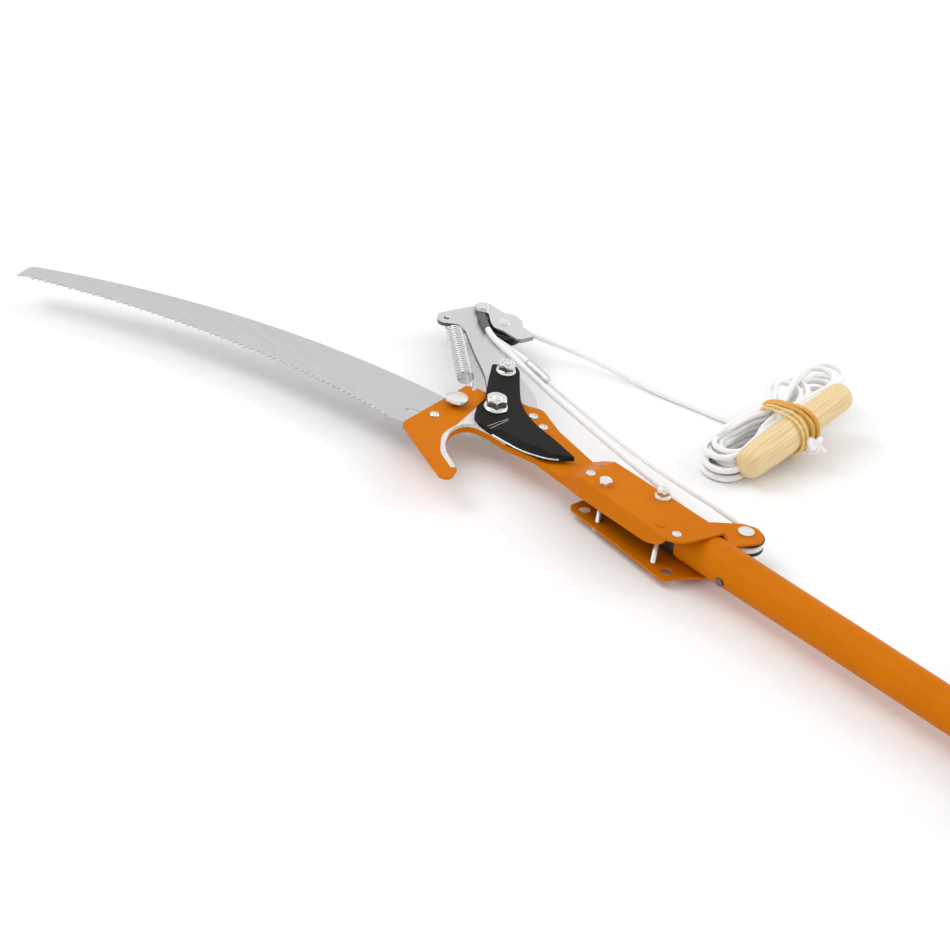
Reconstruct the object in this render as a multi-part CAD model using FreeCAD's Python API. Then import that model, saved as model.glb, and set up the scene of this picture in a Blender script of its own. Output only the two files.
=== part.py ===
"""Telescoping pole saw with a rope-pulled bypass pruner: one STEP file per sub-part.

Head frame: x runs from the head towards the butt of the pole, x = 0 at the mouth of the clamp,
y = 0 and z = 0 on the pole's axis, +z on the side of the pivot nut. place() shifts every solid so
that the row's origin is under the middle of the tool, on the surface it lies on.
"""
import FreeCAD, Part
import math
import os

V = FreeCAD.Vector
UP = V(0, 0, 1)

# ---- driving dimensions, mm ------------------------------------------------------------------
TUBE_R, TUBE_WALL = 16.0, 1.2             # upper pole
LOWER_R, LOWER_WALL = 18.5, 1.2           # lower pole
TUBE_START, TUBE_END = -13.0, 1237.0      # upper pole's ends
LOWER_START, LOWER_END = 350.0, 1492.0    # lower pole's ends, pole pushed together
GRIP_START, GRIP_R = 1190.0, 21.5
CAP_R, CAP_END = 22.5, 1516.0
HANG_HOLE_X, HANG_HOLE_R = 1502.0, 3.5
COLLAR_R = 25.0                           # lock collar, the thickest round of the pole
FLOOR = -COLLAR_R                         # the surface the tool lies on

SHEET = 1.8                               # stamped steel of the head
HEAD_TOP, CLAMP_TOP = 2.0, 18.0           # upper face of the head sheet, in the head and over the tube
LIP = 5.0                                 # turned-down edge of the head sheet
PLATE_TOP = 5.0                           # upper face of the seat plate and the counter blade
SAW_TOP = 3.2
CUT_LOW, CUT_TOP = 5.1, 8.6               # pruner blade
LEVER_LOW, LEVER_TOP = -3.3, -0.1
LOWER_PLATE_TOP = -16.2                   # clamp plate under the tube

PIVOT = (-222.0, -2.0)
PIVOT_R = 5.0
RUN_FIT = 0.05                            # radial clearance of a part that turns on its pin
ARM_BOLT, ARM_BOLT_R = (-257.0, 45.0), 4.0
LEVER_RIVET, LEVER_RIVET_R = (-345.0, 108.0), 3.5
SAW_BOLT, SAW_BOLT_R = (-247.0, -21.0), 4.0
SEAT_RIVET = (-245.0, -47.0)
UPPER_AXLE, LOWER_AXLE = (-318.0, 106.0), (9.0, 42.0)
AXLE_R = 3.0
PULLEY_R, GROOVE_R = 15.5, 13.0            # groove: radius of the rope's centre line
UPPER_MID, LOWER_MID = -5.5, -3.6         # mid-planes of the two pulleys
CLAMP_BOLTS = [(-86.0, -20.0), (-49.0, 5.5), (-23.0, -24.5)]
CLAMP_BOLT_R = 2.5
FLANGE_HOLES, FLANGE_HOLE_R = [(-104.0, -16.8), (-8.0, -25.0)], 5.0
SHEET_RIVETS = [(-203.0, 23.0, HEAD_TOP), (-187.0, 18.0, HEAD_TOP),
                (-103.0, -18.5, CLAMP_TOP), (-6.5, -24.0, CLAMP_TOP)]
BUTTON_X, BUTTON_R, BUTTON_DROP = 36.0, 3.5, 16.0   # drop: degrees below the horizontal
ROPE_R = 2.5

SAW_BACK = [(-588.0, -168.0), (-429.0, -70.0), (-261.0, -19.5)]       # three points of each arc
SAW_EDGE = [(-579.0, -181.5), (-421.0, -107.5), (-270.0, -76.0)]
TOOTH_PITCH, TOOTH_DEPTH = 5.2, 3.6

# ---- helpers ---------------------------------------------------------------------------------


def path_edges(points, radii, closed):
    """Straight runs through the points, each corner rounded by its radius, as a list of edges."""
    count = len(points)
    corners = []
    for i, (here, radius) in enumerate(zip(points, radii)):
        inner = closed or 0 < i < count - 1
        if not inner or radius <= 0:
            corners.append((here, here, None))
            continue
        back = (points[i - 1] - here).normalize()
        on = (points[(i + 1) % count] - here).normalize()
        half = back.getAngle(on) / 2
        if half > math.radians(89.9):
            corners.append((here, here, None))
            continue
        reach = radius / math.tan(half)
        bisector = (back + on).normalize()
        middle = here + bisector * (radius / math.sin(half) - radius)
        corners.append((here + back * reach, here + on * reach, middle))
    edges = []
    for i, (start, end, middle) in enumerate(corners):
        if middle is not None:
            edges.append(Part.Arc(start, middle, end).toShape())
        if i < count - 1 or closed:
            following = corners[(i + 1) % count][0]
            if (following - end).Length > 1e-6:
                edges.append(Part.LineSegment(end, following).toShape())
    return edges


def outline(points, z=0.0):
    """Closed face from (x, y, corner radius) points at height z."""
    places = [V(p[0], p[1], z) for p in points]
    return Part.Face(Part.Wire(path_edges(places, [p[2] for p in points], True)))


def plate(points, low, high):
    return outline(points, low).extrude(V(0, 0, high - low))


def side_prism(points, low_y, high_y):
    """Prism along y from an (x, z) polygon."""
    ring = [V(x, low_y, z) for x, z in points]
    return Part.Face(Part.makePolygon(ring + ring[:1])).extrude(V(0, high_y - low_y, 0))


def end_prism(points, low_x, high_x):
    """Prism along x from a (y, z) polygon."""
    ring = [V(low_x, y, z) for y, z in points]
    return Part.Face(Part.makePolygon(ring + ring[:1])).extrude(V(high_x - low_x, 0, 0))


def post(at, radius, low, high):
    """Upright cylinder."""
    return Part.makeCylinder(radius, high - low, V(at[0], at[1], low), UP)


def tube(start, end, outer, inner=0.0):
    """Round tube or rod on the pole's axis."""
    solid = Part.makeCylinder(outer, end - start, V(start, 0, 0), V(1, 0, 0))
    if inner:
        solid = solid.cut(Part.makeCylinder(inner, end - start + 2, V(start - 1, 0, 0), V(1, 0, 0)))
    return solid


def cone(start, end, r_start, r_end):
    return Part.makeCone(r_start, r_end, end - start, V(start, 0, 0), V(1, 0, 0))


def hexagon(at, across_flats, low, high, turn=0.0):
    radius = across_flats / math.sqrt(3)
    ring = [V(at[0] + radius * math.cos(math.radians(60 * i + turn)),
              at[1] + radius * math.sin(math.radians(60 * i + turn)), low) for i in range(6)]
    prism = Part.Face(Part.makePolygon(ring + ring[:1])).extrude(V(0, 0, high - low))
    crown = Part.makeCone(radius + (high - low), radius * 0.86, high - low + radius * 0.14,
                          V(at[0], at[1], low - radius * 0.14), UP)
    return prism.common(crown)


def flange_nut(at, thread, across_flats, flange_r, low, height, turn=15.0):
    """Hex nut on a round flange, seated at low."""
    body = hexagon(at, across_flats, low + 0.8, low + height, turn)
    flange = Part.makeCone(flange_r, flange_r * 0.76, 3.0, V(at[0], at[1], low + 0.9), UP)
    rim = post(at, flange_r, low, low + 1.0)
    return body.fuse([flange, rim]).removeSplitter().cut(post(at, thread, low - 5, low + height + 5))


def round_tube(edges, radius):
    """Solid of a round section swept along tangent runs and arcs."""
    wire = Part.Wire(edges)
    start = edges[0].valueAt(edges[0].FirstParameter)
    aim = edges[0].tangentAt(edges[0].FirstParameter)
    ring = Part.Wire(Part.makeCircle(radius, start, aim))
    return wire.makePipeShell([ring], True, False)


def biggest(shape):
    return max(shape.Solids, key=lambda solid: solid.Volume)


def place(name, *solids):
    """Shift the part's solids to the row's origin and write them."""
    shape = solids[0] if len(solids) == 1 else Part.makeCompound(list(solids))
    if shape.ShapeType == "Compound" and len(shape.Solids) == 1:
        shape = shape.Solids[0]
    shape = shape.copy()
    shape.translate(V(-ORIGIN[0], -ORIGIN[1], -ORIGIN[2]))
    shape.exportStep(f"parts/{name}.step")
    volume = shape.Volume / 1000
    print(f"{name:22s} solids {len(shape.Solids)} valid {shape.isValid()} volume {volume:.2f} cm3")


TOOL_BOX_X = (-591.0, CAP_END)            # saw tip to end cap
TOOL_BOX_Y = (-192.0, 122.0)              # saw tip to pulley bracket
ORIGIN = (sum(TOOL_BOX_X) / 2, sum(TOOL_BOX_Y) / 2, FLOOR)

# ---- head sheet ------------------------------------------------------------------------------
HOOK_TIP = [(-177.5, -88.5, 3), (-170.5, -103.5, 6), (-179.0, -107.0, 5)]
HOOK_INSET = [(-180.5, -87.5, 1.5), (-176.5, -97.5, 4), (-184.0, -100.0, 4), (-244.5, -74.0, 8),
              (-252.0, -24.0, 60), (-257.5, 3.5, 2)]
MOUTH = [(-183.0, -26.5, 30), (-203.0, -27.0, 30), (-222.5, -30.5, 12), (-223.5, -51.0, 30),
         (-206.0, -75.0, 40)]
SEAT_LEFT = [(-250.6, -78.3, 9), (-258.0, -24.0, 60), (-262.5, 6.0, 3)]
SPRING_NOTCH = [(-258.5, 8.6, 0.8), (-253.2, 3.6, 0.8), (-254.6, 11.0, 1)]
NECK_FAR = [(-246.0, 12.0, 4), (-233.0, 27.0, 8), (-216.0, 31.0, 10), (-206.0, 37.0, 9),
            (-176.0, 25.0, 40), (-123.0, 14.0, 5)]
CLAMP_PLAN = [(-114.0, 19.0, 5), (14.0, 19.0, 1), (10.0, -4.0, 20), (3.0, -36.0, 17), (-104.0, -29.0, 20)]
NECK_NEAR = [(-126.0, -23.0, 30), (-158.0, -20.0, 30)]
HEAD_REST = SPRING_NOTCH + NECK_FAR + CLAMP_PLAN + NECK_NEAR + MOUTH
HEAD_PLAN = HOOK_TIP + SEAT_LEFT + HEAD_REST

# Right of the line between seat plate and counter blade.
COUNTER_SIDE = [(-182.5, -90.5, 1), (-203.0, -82.0, 25), (-222.0, -62.0, 30), (-224.5, -42.0, 15),
                (-236.0, -6.0, 12), (-239.5, 12.0, 5), (-240.0, 40.0, 0), (-100.0, 40.0, 0),
                (-100.0, -60.0, 0), (-172.0, -66.0, 0)]
COUNTER_ROOT = [(-300.0, -120.0, 0), (-150.0, -120.0, 0), (-150.0, -40.0, 0), (-192.0, -24.0, 3),
                (-197.0, 12.0, 10), (-222.0, 19.0, 12), (-300.0, 19.0, 0)]
TAB_PLAN = [(-24.0, 17.0, 0), (-16.0, 30.0, 5), (-1.0, 49.5, 8), (10.0, 55.0, 8), (22.5, 50.0, 10),
            (25.0, 39.5, 10), (15.5, 17.0, 0)]
TAB_TOP = 4.2

RAMP_X = (-130.0, -104.0)                 # where the sheet climbs over the tube
SKIRT_LOW = (0.5, 5.0)                    # lower edge of the near skirt, front and butt end
SKIRT_END = [(-34.0, 2.0), (-24.0, 4.2), (-16.0, 7.4), (-10.5, 11.2), (-7.5, 16.0)]     # (x, z), curving up
FAR_CREASE_Y, FAR_FOOT_Y = 10.4, 19.0
FAR_FOOT_Z = 2.4
REACH_X, REACH_Y = 30.0, 60.0             # how far cutting prisms run past the part


def sheet_profile(drop, inset):
    """(x, z) polygon of the head's mass: head level, ramp and clamp level, lowered by drop."""
    foot = HEAD_TOP - LIP - (1.0 if inset else 0.0)
    low_front, low_butt = (foot, foot) if inset else SKIRT_LOW
    head, clamp, shift = HEAD_TOP - drop, CLAMP_TOP - drop, inset
    return [(-300, foot), (-300, head), (RAMP_X[0] + shift, head), (RAMP_X[1] + shift, clamp),
            (REACH_X, clamp), (REACH_X, low_butt), (RAMP_X[1], low_front), (RAMP_X[0], foot)]


def clamp_section(drop):
    """(y, z) polygon that slopes the far side down along the tube."""
    far = V(FAR_FOOT_Y - FAR_CREASE_Y, FAR_FOOT_Z - CLAMP_TOP).normalize()
    inward = drop / -far.y
    slope = (FAR_FOOT_Y - FAR_CREASE_Y) / (CLAMP_TOP - FAR_FOOT_Z)
    crease = FAR_CREASE_Y - inward + drop * slope
    foot = FAR_FOOT_Y - inward
    bottom = HEAD_TOP - LIP - 2
    return [(-REACH_Y, bottom), (-REACH_Y, CLAMP_TOP - drop), (crease, CLAMP_TOP - drop),
            (foot, FAR_FOOT_Z), (foot, bottom)]


def head_sheet():
    """Stamped sheet: hook rim, neck with lips, ramp, and the upper half of the tube clamp."""
    mass = plate(HOOK_INSET + HEAD_REST, -8, CLAMP_TOP + 1)
    mass = mass.common(side_prism(sheet_profile(0, 0), -REACH_Y * 3, REACH_Y))
    clamp_zone = Part.makeBox(200, 200, 60, V(RAMP_X[0] + 5, -100, -20))
    section = end_prism(clamp_section(0), RAMP_X[0] + 5, REACH_X)
    mass = mass.cut(clamp_zone).fuse(mass.common(section)).removeSplitter()

    hollow = outline(HEAD_PLAN, -20).makeOffset2D(-SHEET).extrude(V(0, 0, 60))
    hollow = hollow.common(side_prism(sheet_profile(SHEET, 0.5), -REACH_Y * 3, REACH_Y))
    inner_section = end_prism(clamp_section(SHEET), RAMP_X[0] + 5, REACH_X)
    hollow = hollow.cut(clamp_zone).fuse(hollow.common(inner_section))
    mouth = end_prism([(-34.0, -10), (-34.0, CLAMP_TOP - SHEET), (8.9, CLAMP_TOP - SHEET), (17.2, FAR_FOOT_Z),
                       (17.2, -10)], -14, REACH_X)
    sweep = post(PIVOT, 62, -20, HEAD_TOP - SHEET).common(
        Part.makeBox(200, 100, 60, V(-330, -6, -40)))
    sheet = mass.cut(hollow).cut(mouth).cut(sweep)
    skirt_end = [(SKIRT_END[0][0], -4.0)] + SKIRT_END + [(REACH_X, SKIRT_END[-1][1]), (REACH_X, -4.0)]
    sheet = sheet.cut(side_prism(skirt_end, -REACH_Y, -30.0))
    far_foot = Part.makeBox(200, 30, 30, V(RAMP_X[1] + 2, 8, FAR_FOOT_Z - 30))
    sheet = sheet.cut(far_foot)
    sheet = sheet.fuse(plate(TAB_PLAN, TAB_TOP - SHEET, TAB_TOP).cut(tube(-40, 40, TUBE_R + 0.4)))
    holes = [post(PIVOT, PIVOT_R, -9, 30), post(SAW_BOLT, SAW_BOLT_R, -9, 30), post(SEAT_RIVET, 2.5, -9, 30),
             post(LOWER_AXLE, AXLE_R, -9, 30)]
    holes += [post(at, CLAMP_BOLT_R, -9, 30) for at in CLAMP_BOLTS]
    holes += [post(at[:2], 2.2, -9, 30) for at in SHEET_RIVETS]
    for hole in holes:
        sheet = sheet.cut(hole)
    return biggest(sheet)


def counter_blade():
    """Hardened hook insert: its concave edge is the anvil side of the bypass cut."""
    blade = plate(HEAD_PLAN, HEAD_TOP, PLATE_TOP).common(plate(COUNTER_SIDE, 0, 9))
    blade = blade.common(plate(COUNTER_ROOT, 0, 9))
    return biggest(blade.cut(post(PIVOT, PIVOT_R, 0, 9)))


def seat_plate():
    """Orange plate that traps the saw blade and frames the counter blade, packed out along the hook."""
    body = plate(HEAD_PLAN, SAW_TOP, PLATE_TOP).cut(plate(COUNTER_SIDE, 0, 9))
    body = biggest(body.common(Part.makeBox(150, 200, 9, V(-300, -150, 0))))
    hook_only = [(-300.0, -150.0, 0), (-100.0, -150.0, 0), (-100.0, -60.0, 0), (-228.0, -60.0, 0),
                 (-236.0, -73.0, 0), (-300.0, -73.0, 0)]
    spacer = plate(HOOK_INSET + HEAD_REST, HEAD_TOP, SAW_TOP).common(plate(hook_only, 0, 9))
    body = body.fuse(biggest(spacer.cut(plate(COUNTER_SIDE, 0, 9)))).removeSplitter()
    return biggest(body.cut(post(SAW_BOLT, SAW_BOLT_R, 0, 9)).cut(post(SEAT_RIVET, 2.5, 0, 9)))


def sheet_rivets():
    """Flat-headed rivets of the head sheet, flush on its underside."""
    rivets = []
    for x, y, top in SHEET_RIVETS:
        head = Part.makeCone(3.9, 3.2, 1.0, V(x, y, top), UP)
        rivets.append(post((x, y), 2.2, top - SHEET, top + 1.0).fuse(head).removeSplitter())
    return rivets


# ---- saw blade -------------------------------------------------------------------------------


def arc_points(three, count):
    """Evenly spaced points along the arc through three points."""
    a, b, c = (V(x, y, 0) for x, y in three)
    arc = Part.Arc(a, b, c)
    span = arc.LastParameter - arc.FirstParameter
    return [arc.value(arc.FirstParameter + span * i / count) for i in range(count + 1)]


def saw_blade():
    """Curved pull-cut blade with raked teeth, a locating slot and a bolt hole."""
    length = Part.Arc(*(V(x, y, 0) for x, y in SAW_EDGE)).toShape().Length
    roots = arc_points(SAW_EDGE, round(length / TOOTH_PITCH))
    edge = []
    for tip_side, heel_side in zip(roots, roots[1:]):
        run = heel_side - tip_side
        outward = V(run.y, -run.x, 0).normalize()
        edge.append(tip_side)
        edge.append(tip_side + run * 0.72 + outward * TOOTH_DEPTH)
    edge.append(roots[-1])
    back = [V(x, y, 0) for x, y in SAW_BACK]
    tang = [V(-266.0, -76.0, 0), V(-250.0, -71.5, 0), V(-246.0, -71.0, 0), V(-235.0, -52.0, 0),
            V(-233.5, -30.0, 0), V(-238.0, -16.0, 0)]
    tip = [V(-590.0, -172.5, 0), V(-586.0, -189.5, 0)]
    ring = [back[2]] + tang[::-1] + edge[::-1] + tip[::-1] + [back[0]]
    edges = [Part.LineSegment(a, b).toShape() for a, b in zip(ring, ring[1:])]
    edges.append(Part.Arc(back[0], back[1], back[2]).toShape())
    blade = Part.Face(Part.Wire(edges)).extrude(V(0, 0, SAW_TOP - HEAD_TOP))
    blade.translate(V(0, 0, HEAD_TOP))
    slot_start, slot_end = V(-263.0, -57.5, 0), V(*SEAT_RIVET, 0)
    along = (slot_end - slot_start)
    across = V(-along.y, along.x, 0).normalize() * 2.7
    slot = Part.Face(Part.makePolygon([slot_start + across, slot_start - across, slot_end - across,
                                       slot_end + across, slot_start + across])).extrude(V(0, 0, 9))
    slot = slot.fuse([post(slot_start, 2.7, 0, 9), post(slot_end, 2.7, 0, 9)])
    return biggest(blade.cut(slot).cut(post(SAW_BOLT, SAW_BOLT_R + 0.2, 0, 9)))


def saw_fasteners():
    """Bolt, nut and locating rivet of the saw blade."""
    head = post(SAW_BOLT, 9.2, 9.0, 11.3).fuse(
        Part.makeCone(9.2, 8.0, 0.8, V(*SAW_BOLT, 11.3), UP))
    bolt = head.fuse([post(SAW_BOLT, 5.4, PLATE_TOP, 9.0), post(SAW_BOLT, SAW_BOLT_R, -8.5, PLATE_TOP)])
    place("saw_bolt", bolt.removeSplitter())
    nut_top = HEAD_TOP - SHEET
    nut = hexagon(SAW_BOLT, 13.0, nut_top - 6.3, nut_top).cut(post(SAW_BOLT, SAW_BOLT_R, -20, 9))
    place("saw_bolt_nut", nut)
    rivet = post(SEAT_RIVET, 2.5, nut_top - 1.4, PLATE_TOP + 1.2).fuse(
        [Part.makeCone(4.0, 3.0, 1.3, V(*SEAT_RIVET, PLATE_TOP), UP),
         Part.makeCone(3.0, 4.0, 1.4, V(*SEAT_RIVET, nut_top - 1.4), UP)])
    place("seat_rivet", rivet.removeSplitter())


# ---- pruner arm ------------------------------------------------------------------------------
BLADE_PLAN = [(-271.0, 43.5, 2.5), (-256.5, 57.8, 2.5), (-249.5, 53.5, 3), (-235.0, 38.8, 60),
              (-219.0, 23.5, 60), (-203.0, 12.8, 60), (-184.0, 7.4, 60), (-162.0, 4.6, 60),
              (-135.5, -0.5, 0.4), (-147.0, -17.0, 30), (-168.0, -27.5, 50), (-196.0, -30.0, 30),
              (-212.0, -29.0, 10), (-223.0, -25.0, 8), (-232.0, -13.0, 10), (-236.5, 0.5, 12),
              (-257.5, 26.0, 60)]
LEVER_PLAN = [(-203.0, -10.0, 15), (-202.0, 16.0, 20), (-215.0, 41.0, 16), (-233.0, 52.5, 20),
              (-254.0, 60.0, 20), (-284.0, 72.5, 60), (-320.0, 88.5, 40), (-335.0, 95.0, 8),
              (-336.5, 117.0, 9), (-352.5, 117.0, 9), (-362.5, 73.0, 6), (-352.0, 63.0, 6),
              (-340.0, 75.5, 5), (-329.0, 72.5, 8), (-300.0, 54.0, 60), (-271.0, 37.0, 60),
              (-242.0, 12.0, 20), (-240.0, -12.0, 16), (-222.0, -20.5, 18)]
SPRING_EYE = (-353.0, 74.0)


def cutting_arm():
    """The pruner blade, the lever under the head, and what joins them."""
    blade = plate(BLADE_PLAN, CUT_LOW, CUT_TOP)
    for at, radius in ((PIVOT, PIVOT_R + RUN_FIT), (ARM_BOLT, ARM_BOLT_R)):
        blade = blade.cut(post(at, radius, 0, 20))
    place("cutting_blade", blade)
    lever = plate(LEVER_PLAN, LEVER_LOW, LEVER_TOP)
    for at, radius in ((PIVOT, PIVOT_R + RUN_FIT), (ARM_BOLT, ARM_BOLT_R), (LEVER_RIVET, LEVER_RIVET_R),
                       (SPRING_EYE, 2.2)):
        lever = lever.cut(post(at, radius, -9, 20))
    place("lever_arm", lever)
    place("arm_spacer", post(ARM_BOLT, 7.5, LEVER_TOP, CUT_LOW).cut(post(ARM_BOLT, ARM_BOLT_R, -9, 20)))
    head = hexagon(ARM_BOLT, 13.0, LEVER_LOW - 5.2, LEVER_LOW, 15)
    bolt = head.fuse(post(ARM_BOLT, ARM_BOLT_R, LEVER_LOW, 17.6))
    place("arm_bolt", bolt.removeSplitter())
    place("arm_nut", flange_nut(ARM_BOLT, ARM_BOLT_R, 13.0, 8.2, CUT_TOP, 8.0, 5))


def pivot_fasteners():
    """Pivot bolt through head, counter blade, lever and blade, with its nut and washers."""
    washer_low, nut_low = LEVER_LOW - 1.3, CUT_TOP + 0.2
    head = hexagon(PIVOT, 16.0, washer_low - 6.4, washer_low, 10)
    bolt = head.fuse(post(PIVOT, PIVOT_R, washer_low, 18.8)).fuse(
        Part.makeCone(PIVOT_R, PIVOT_R - 1.2, 1.2, V(*PIVOT, 18.8), UP))
    place("pivot_bolt", bolt.removeSplitter())
    place("pivot_washer", post(PIVOT, 10.0, washer_low, LEVER_LOW - 0.1).cut(post(PIVOT, PIVOT_R, -20, 9)))
    place("pivot_nut", flange_nut(PIVOT, PIVOT_R, 15.5, 9.8, nut_low, 9.4, 12))


# ---- pulleys ---------------------------------------------------------------------------------
BRACKET_LEAF = [(-341.5, 101.0, 2), (-352.0, 99.5, 8), (-352.5, 117.0, 8), (-329.0, 116.5, 8),
                (-322.0, 122.0, 3), (-311.0, 120.5, 4), (-303.0, 112.5, 4), (-289.5, 113.0, 2),
                (-292.5, 96.0, 2), (-309.0, 95.5, 6), (-317.0, 92.5, 6), (-324.5, 96.5, 4),
                (-336.0, 105.5, 4)]
BRACKET_FOOT = [(-341.5, 100.5, 6), (-352.0, 99.5, 8), (-352.5, 117.0, 8), (-330.0, 117.0, 4),
                (-311.0, 114.5, 7), (-307.5, 106.0, 6), (-311.0, 98.0, 7), (-326.0, 98.5, 8)]
BRACKET_TOP, LEAF = 3.5, 1.5
CLIP_SHEET, CRIMP_R = 1.6, 3.0
CRIMP_START, CRIMP_END = V(-334.5, 95.7, 2.8), V(-318.7, 87.1, 2.8)
CRIMP = CRIMP_END - CRIMP_START
PULLEY_HALF = 5.0


def pulley(at, mid):
    """Grooved wheel, turned profile."""
    top, low = mid + PULLEY_HALF, mid - PULLEY_HALF
    inner = GROOVE_R - ROPE_R - 0.1
    profile = [(AXLE_R + RUN_FIT, low), (PULLEY_R - 1.0, low), (PULLEY_R, low + 0.5), (PULLEY_R, low + 1.0),
               (inner, mid - 1.8), (inner, mid + 1.8), (PULLEY_R, top - 1.0), (PULLEY_R, top - 0.5),
               (PULLEY_R - 1.0, top), (AXLE_R + RUN_FIT, top)]
    ring = [V(at[0] + r, at[1], z) for r, z in profile]
    return Part.Face(Part.makePolygon(ring + ring[:1])).revolve(V(*at, 0), UP, 360)


def rope_clip():
    """Folded strap from the lever's rivet, crimped on the fixed end of the rope."""
    eye = post(LEVER_RIVET, 6.0, LEVER_TOP, LEVER_TOP + CLIP_SHEET)
    tongue = plate([(-349.0, 104.0, 0), (-341.0, 112.0, 0), (-328.0, 96.5, 1), (-332.5, 90.5, 1)],
                   LEVER_TOP, LEVER_TOP + CLIP_SHEET)
    fold = plate([(-341.0, 98.0, 1), (-337.4, 102.6, 1), (-331.2, 97.9, 1), (-334.8, 93.0, 1)],
                 LEVER_TOP, LEVER_TOP + 3.9)
    barrel = Part.makeCylinder(CRIMP_R, CRIMP.Length, CRIMP_START, CRIMP)
    barrel = barrel.cut(Part.makeBox(200, 200, 9, V(-400, 50, LEVER_TOP - 9)))
    strap = eye.fuse([tongue, fold, barrel]).removeSplitter()
    return biggest(strap.cut(post(LEVER_RIVET, LEVER_RIVET_R, -20, 9)))


def pulley_sets():
    """Swinging bracket with the upper pulley, and the tab pulley by the clamp."""
    low_leaf_top = UPPER_MID - PULLEY_HALF - 0.3
    leaf = plate(BRACKET_LEAF, BRACKET_TOP - LEAF, BRACKET_TOP)
    foot = plate(BRACKET_FOOT, low_leaf_top - LEAF, low_leaf_top)
    web = Part.makeBox(5.0, LEAF, BRACKET_TOP - low_leaf_top, V(-336.8, 114.6, low_leaf_top))
    lip = plate([(-292.7, 98.2, 0), (-291.2, 98.2, 0), (-288.9, 111.0, 0), (-290.4, 111.0, 0)],
                BRACKET_TOP - 3.8, BRACKET_TOP)
    bracket = leaf.fuse([foot, web, lip]).removeSplitter()
    bracket = bracket.cut(post(LEVER_RIVET, LEVER_RIVET_R + RUN_FIT, -20, 9))
    bracket = bracket.cut(post(UPPER_AXLE, AXLE_R, -20, 9))
    place("pulley_bracket", bracket)
    axle = post(UPPER_AXLE, AXLE_R, low_leaf_top - LEAF - 1.5, BRACKET_TOP + 1.0)
    axle = axle.fuse([post(UPPER_AXLE, 5.0, BRACKET_TOP, BRACKET_TOP + 1.0),
                      post(UPPER_AXLE, 4.6, low_leaf_top - LEAF - 1.5, low_leaf_top - LEAF)])
    place("upper_axle", axle.removeSplitter())
    place("upper_pulley", pulley(UPPER_AXLE, UPPER_MID))

    pin_low = low_leaf_top - LEAF - 1.7
    pin = post(LEVER_RIVET, LEVER_RIVET_R, pin_low, BRACKET_TOP + 1.7)
    pin = pin.fuse([post(LEVER_RIVET, 5.4, BRACKET_TOP + 0.1, BRACKET_TOP + 1.7),
                    post(LEVER_RIVET, 5.6, pin_low, low_leaf_top - LEAF - 0.1)])
    place("lever_rivet", pin.removeSplitter())
    place("rope_clip", rope_clip())
    place("rivet_spacer", post(LEVER_RIVET, 5.4, low_leaf_top + 0.1, LEVER_LOW).cut(
        post(LEVER_RIVET, LEVER_RIVET_R, -20, 9)))

    place("lower_pulley", pulley(LOWER_AXLE, LOWER_MID))
    axle_low = LOWER_MID - PULLEY_HALF - 0.4
    axle = post(LOWER_AXLE, AXLE_R, axle_low - 1.6, TAB_TOP + 1.5)
    axle = axle.fuse([post(LOWER_AXLE, 6.5, TAB_TOP, TAB_TOP + 1.5),
                      post(LOWER_AXLE, 5.5, axle_low - 1.6, axle_low)])
    place("lower_axle", axle.removeSplitter())


# ---- clamp -----------------------------------------------------------------------------------
LOWER_PLAN = [(-114.5, -25.5, 7), (-1.0, -37.0, 8), (4.5, -22.0, 14), (15.0, -5.0, 6), (15.0, 18.6, 2),
              (-112.0, 18.6, 4)]


def tube_clamp():
    """Lower clamp plate, its bolts and nuts, and the black adapter the pole plugs on."""
    low = LOWER_PLATE_TOP - SHEET
    lower = plate(LOWER_PLAN, low, LOWER_PLATE_TOP)
    lip = Part.makeBox(115, SHEET, 10, V(-106, 18.6 - SHEET, low))
    lower = lower.fuse(lip).removeSplitter()
    for at in FLANGE_HOLES:
        lower = lower.cut(post(at, FLANGE_HOLE_R, -30, 0))
    for at in CLAMP_BOLTS:
        lower = lower.cut(post(at, CLAMP_BOLT_R, -30, 0))
    place("lower_clamp_plate", lower)

    bolts, nuts = [], []
    for index, at in enumerate(CLAMP_BOLTS):
        nut_on_top = index == 1
        if nut_on_top:
            shank = post(at, CLAMP_BOLT_R, low - 0.5, CLAMP_TOP + 7.4)
            head = hexagon(at, 9.0, low - 4.0, low, 8)
            nuts.append(flange_nut(at, CLAMP_BOLT_R, 10.0, 6.8, CLAMP_TOP, 6.4, 20))
        else:
            shank = post(at, CLAMP_BOLT_R, low - 5.6, CLAMP_TOP)
            head = (hexagon(at, 9.6, CLAMP_TOP, CLAMP_TOP + 4.2, 20) if index == 0
                    else Part.makeCone(4.2, 3.4, 0.7, V(*at, CLAMP_TOP), UP))
            nuts.append(hexagon(at, 8.4, low - 4.6, low, 20).cut(post(at, CLAMP_BOLT_R, low - 9, low + 9)))
        bolts.append(shank.fuse(head).removeSplitter())
    place("clamp_bolts", *bolts)
    place("clamp_nuts", *nuts)

    adapter = tube(-108, TUBE_START, TUBE_R).fuse(tube(TUBE_START, 78, TUBE_R - TUBE_WALL)).removeSplitter()
    adapter = adapter.cut(tube(-20, 90, 9.0)).cut(post(CLAMP_BOLTS[1], CLAMP_BOLT_R, -30, 30))
    pocket = Part.makeCylinder(BUTTON_R + 0.1, 30, V(BUTTON_X, 0, 0), button_axis())
    place("tube_adapter", biggest(adapter.cut(pocket)))


def button_axis():
    drop = math.radians(BUTTON_DROP)
    return V(0, -math.cos(drop), -math.sin(drop))


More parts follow.
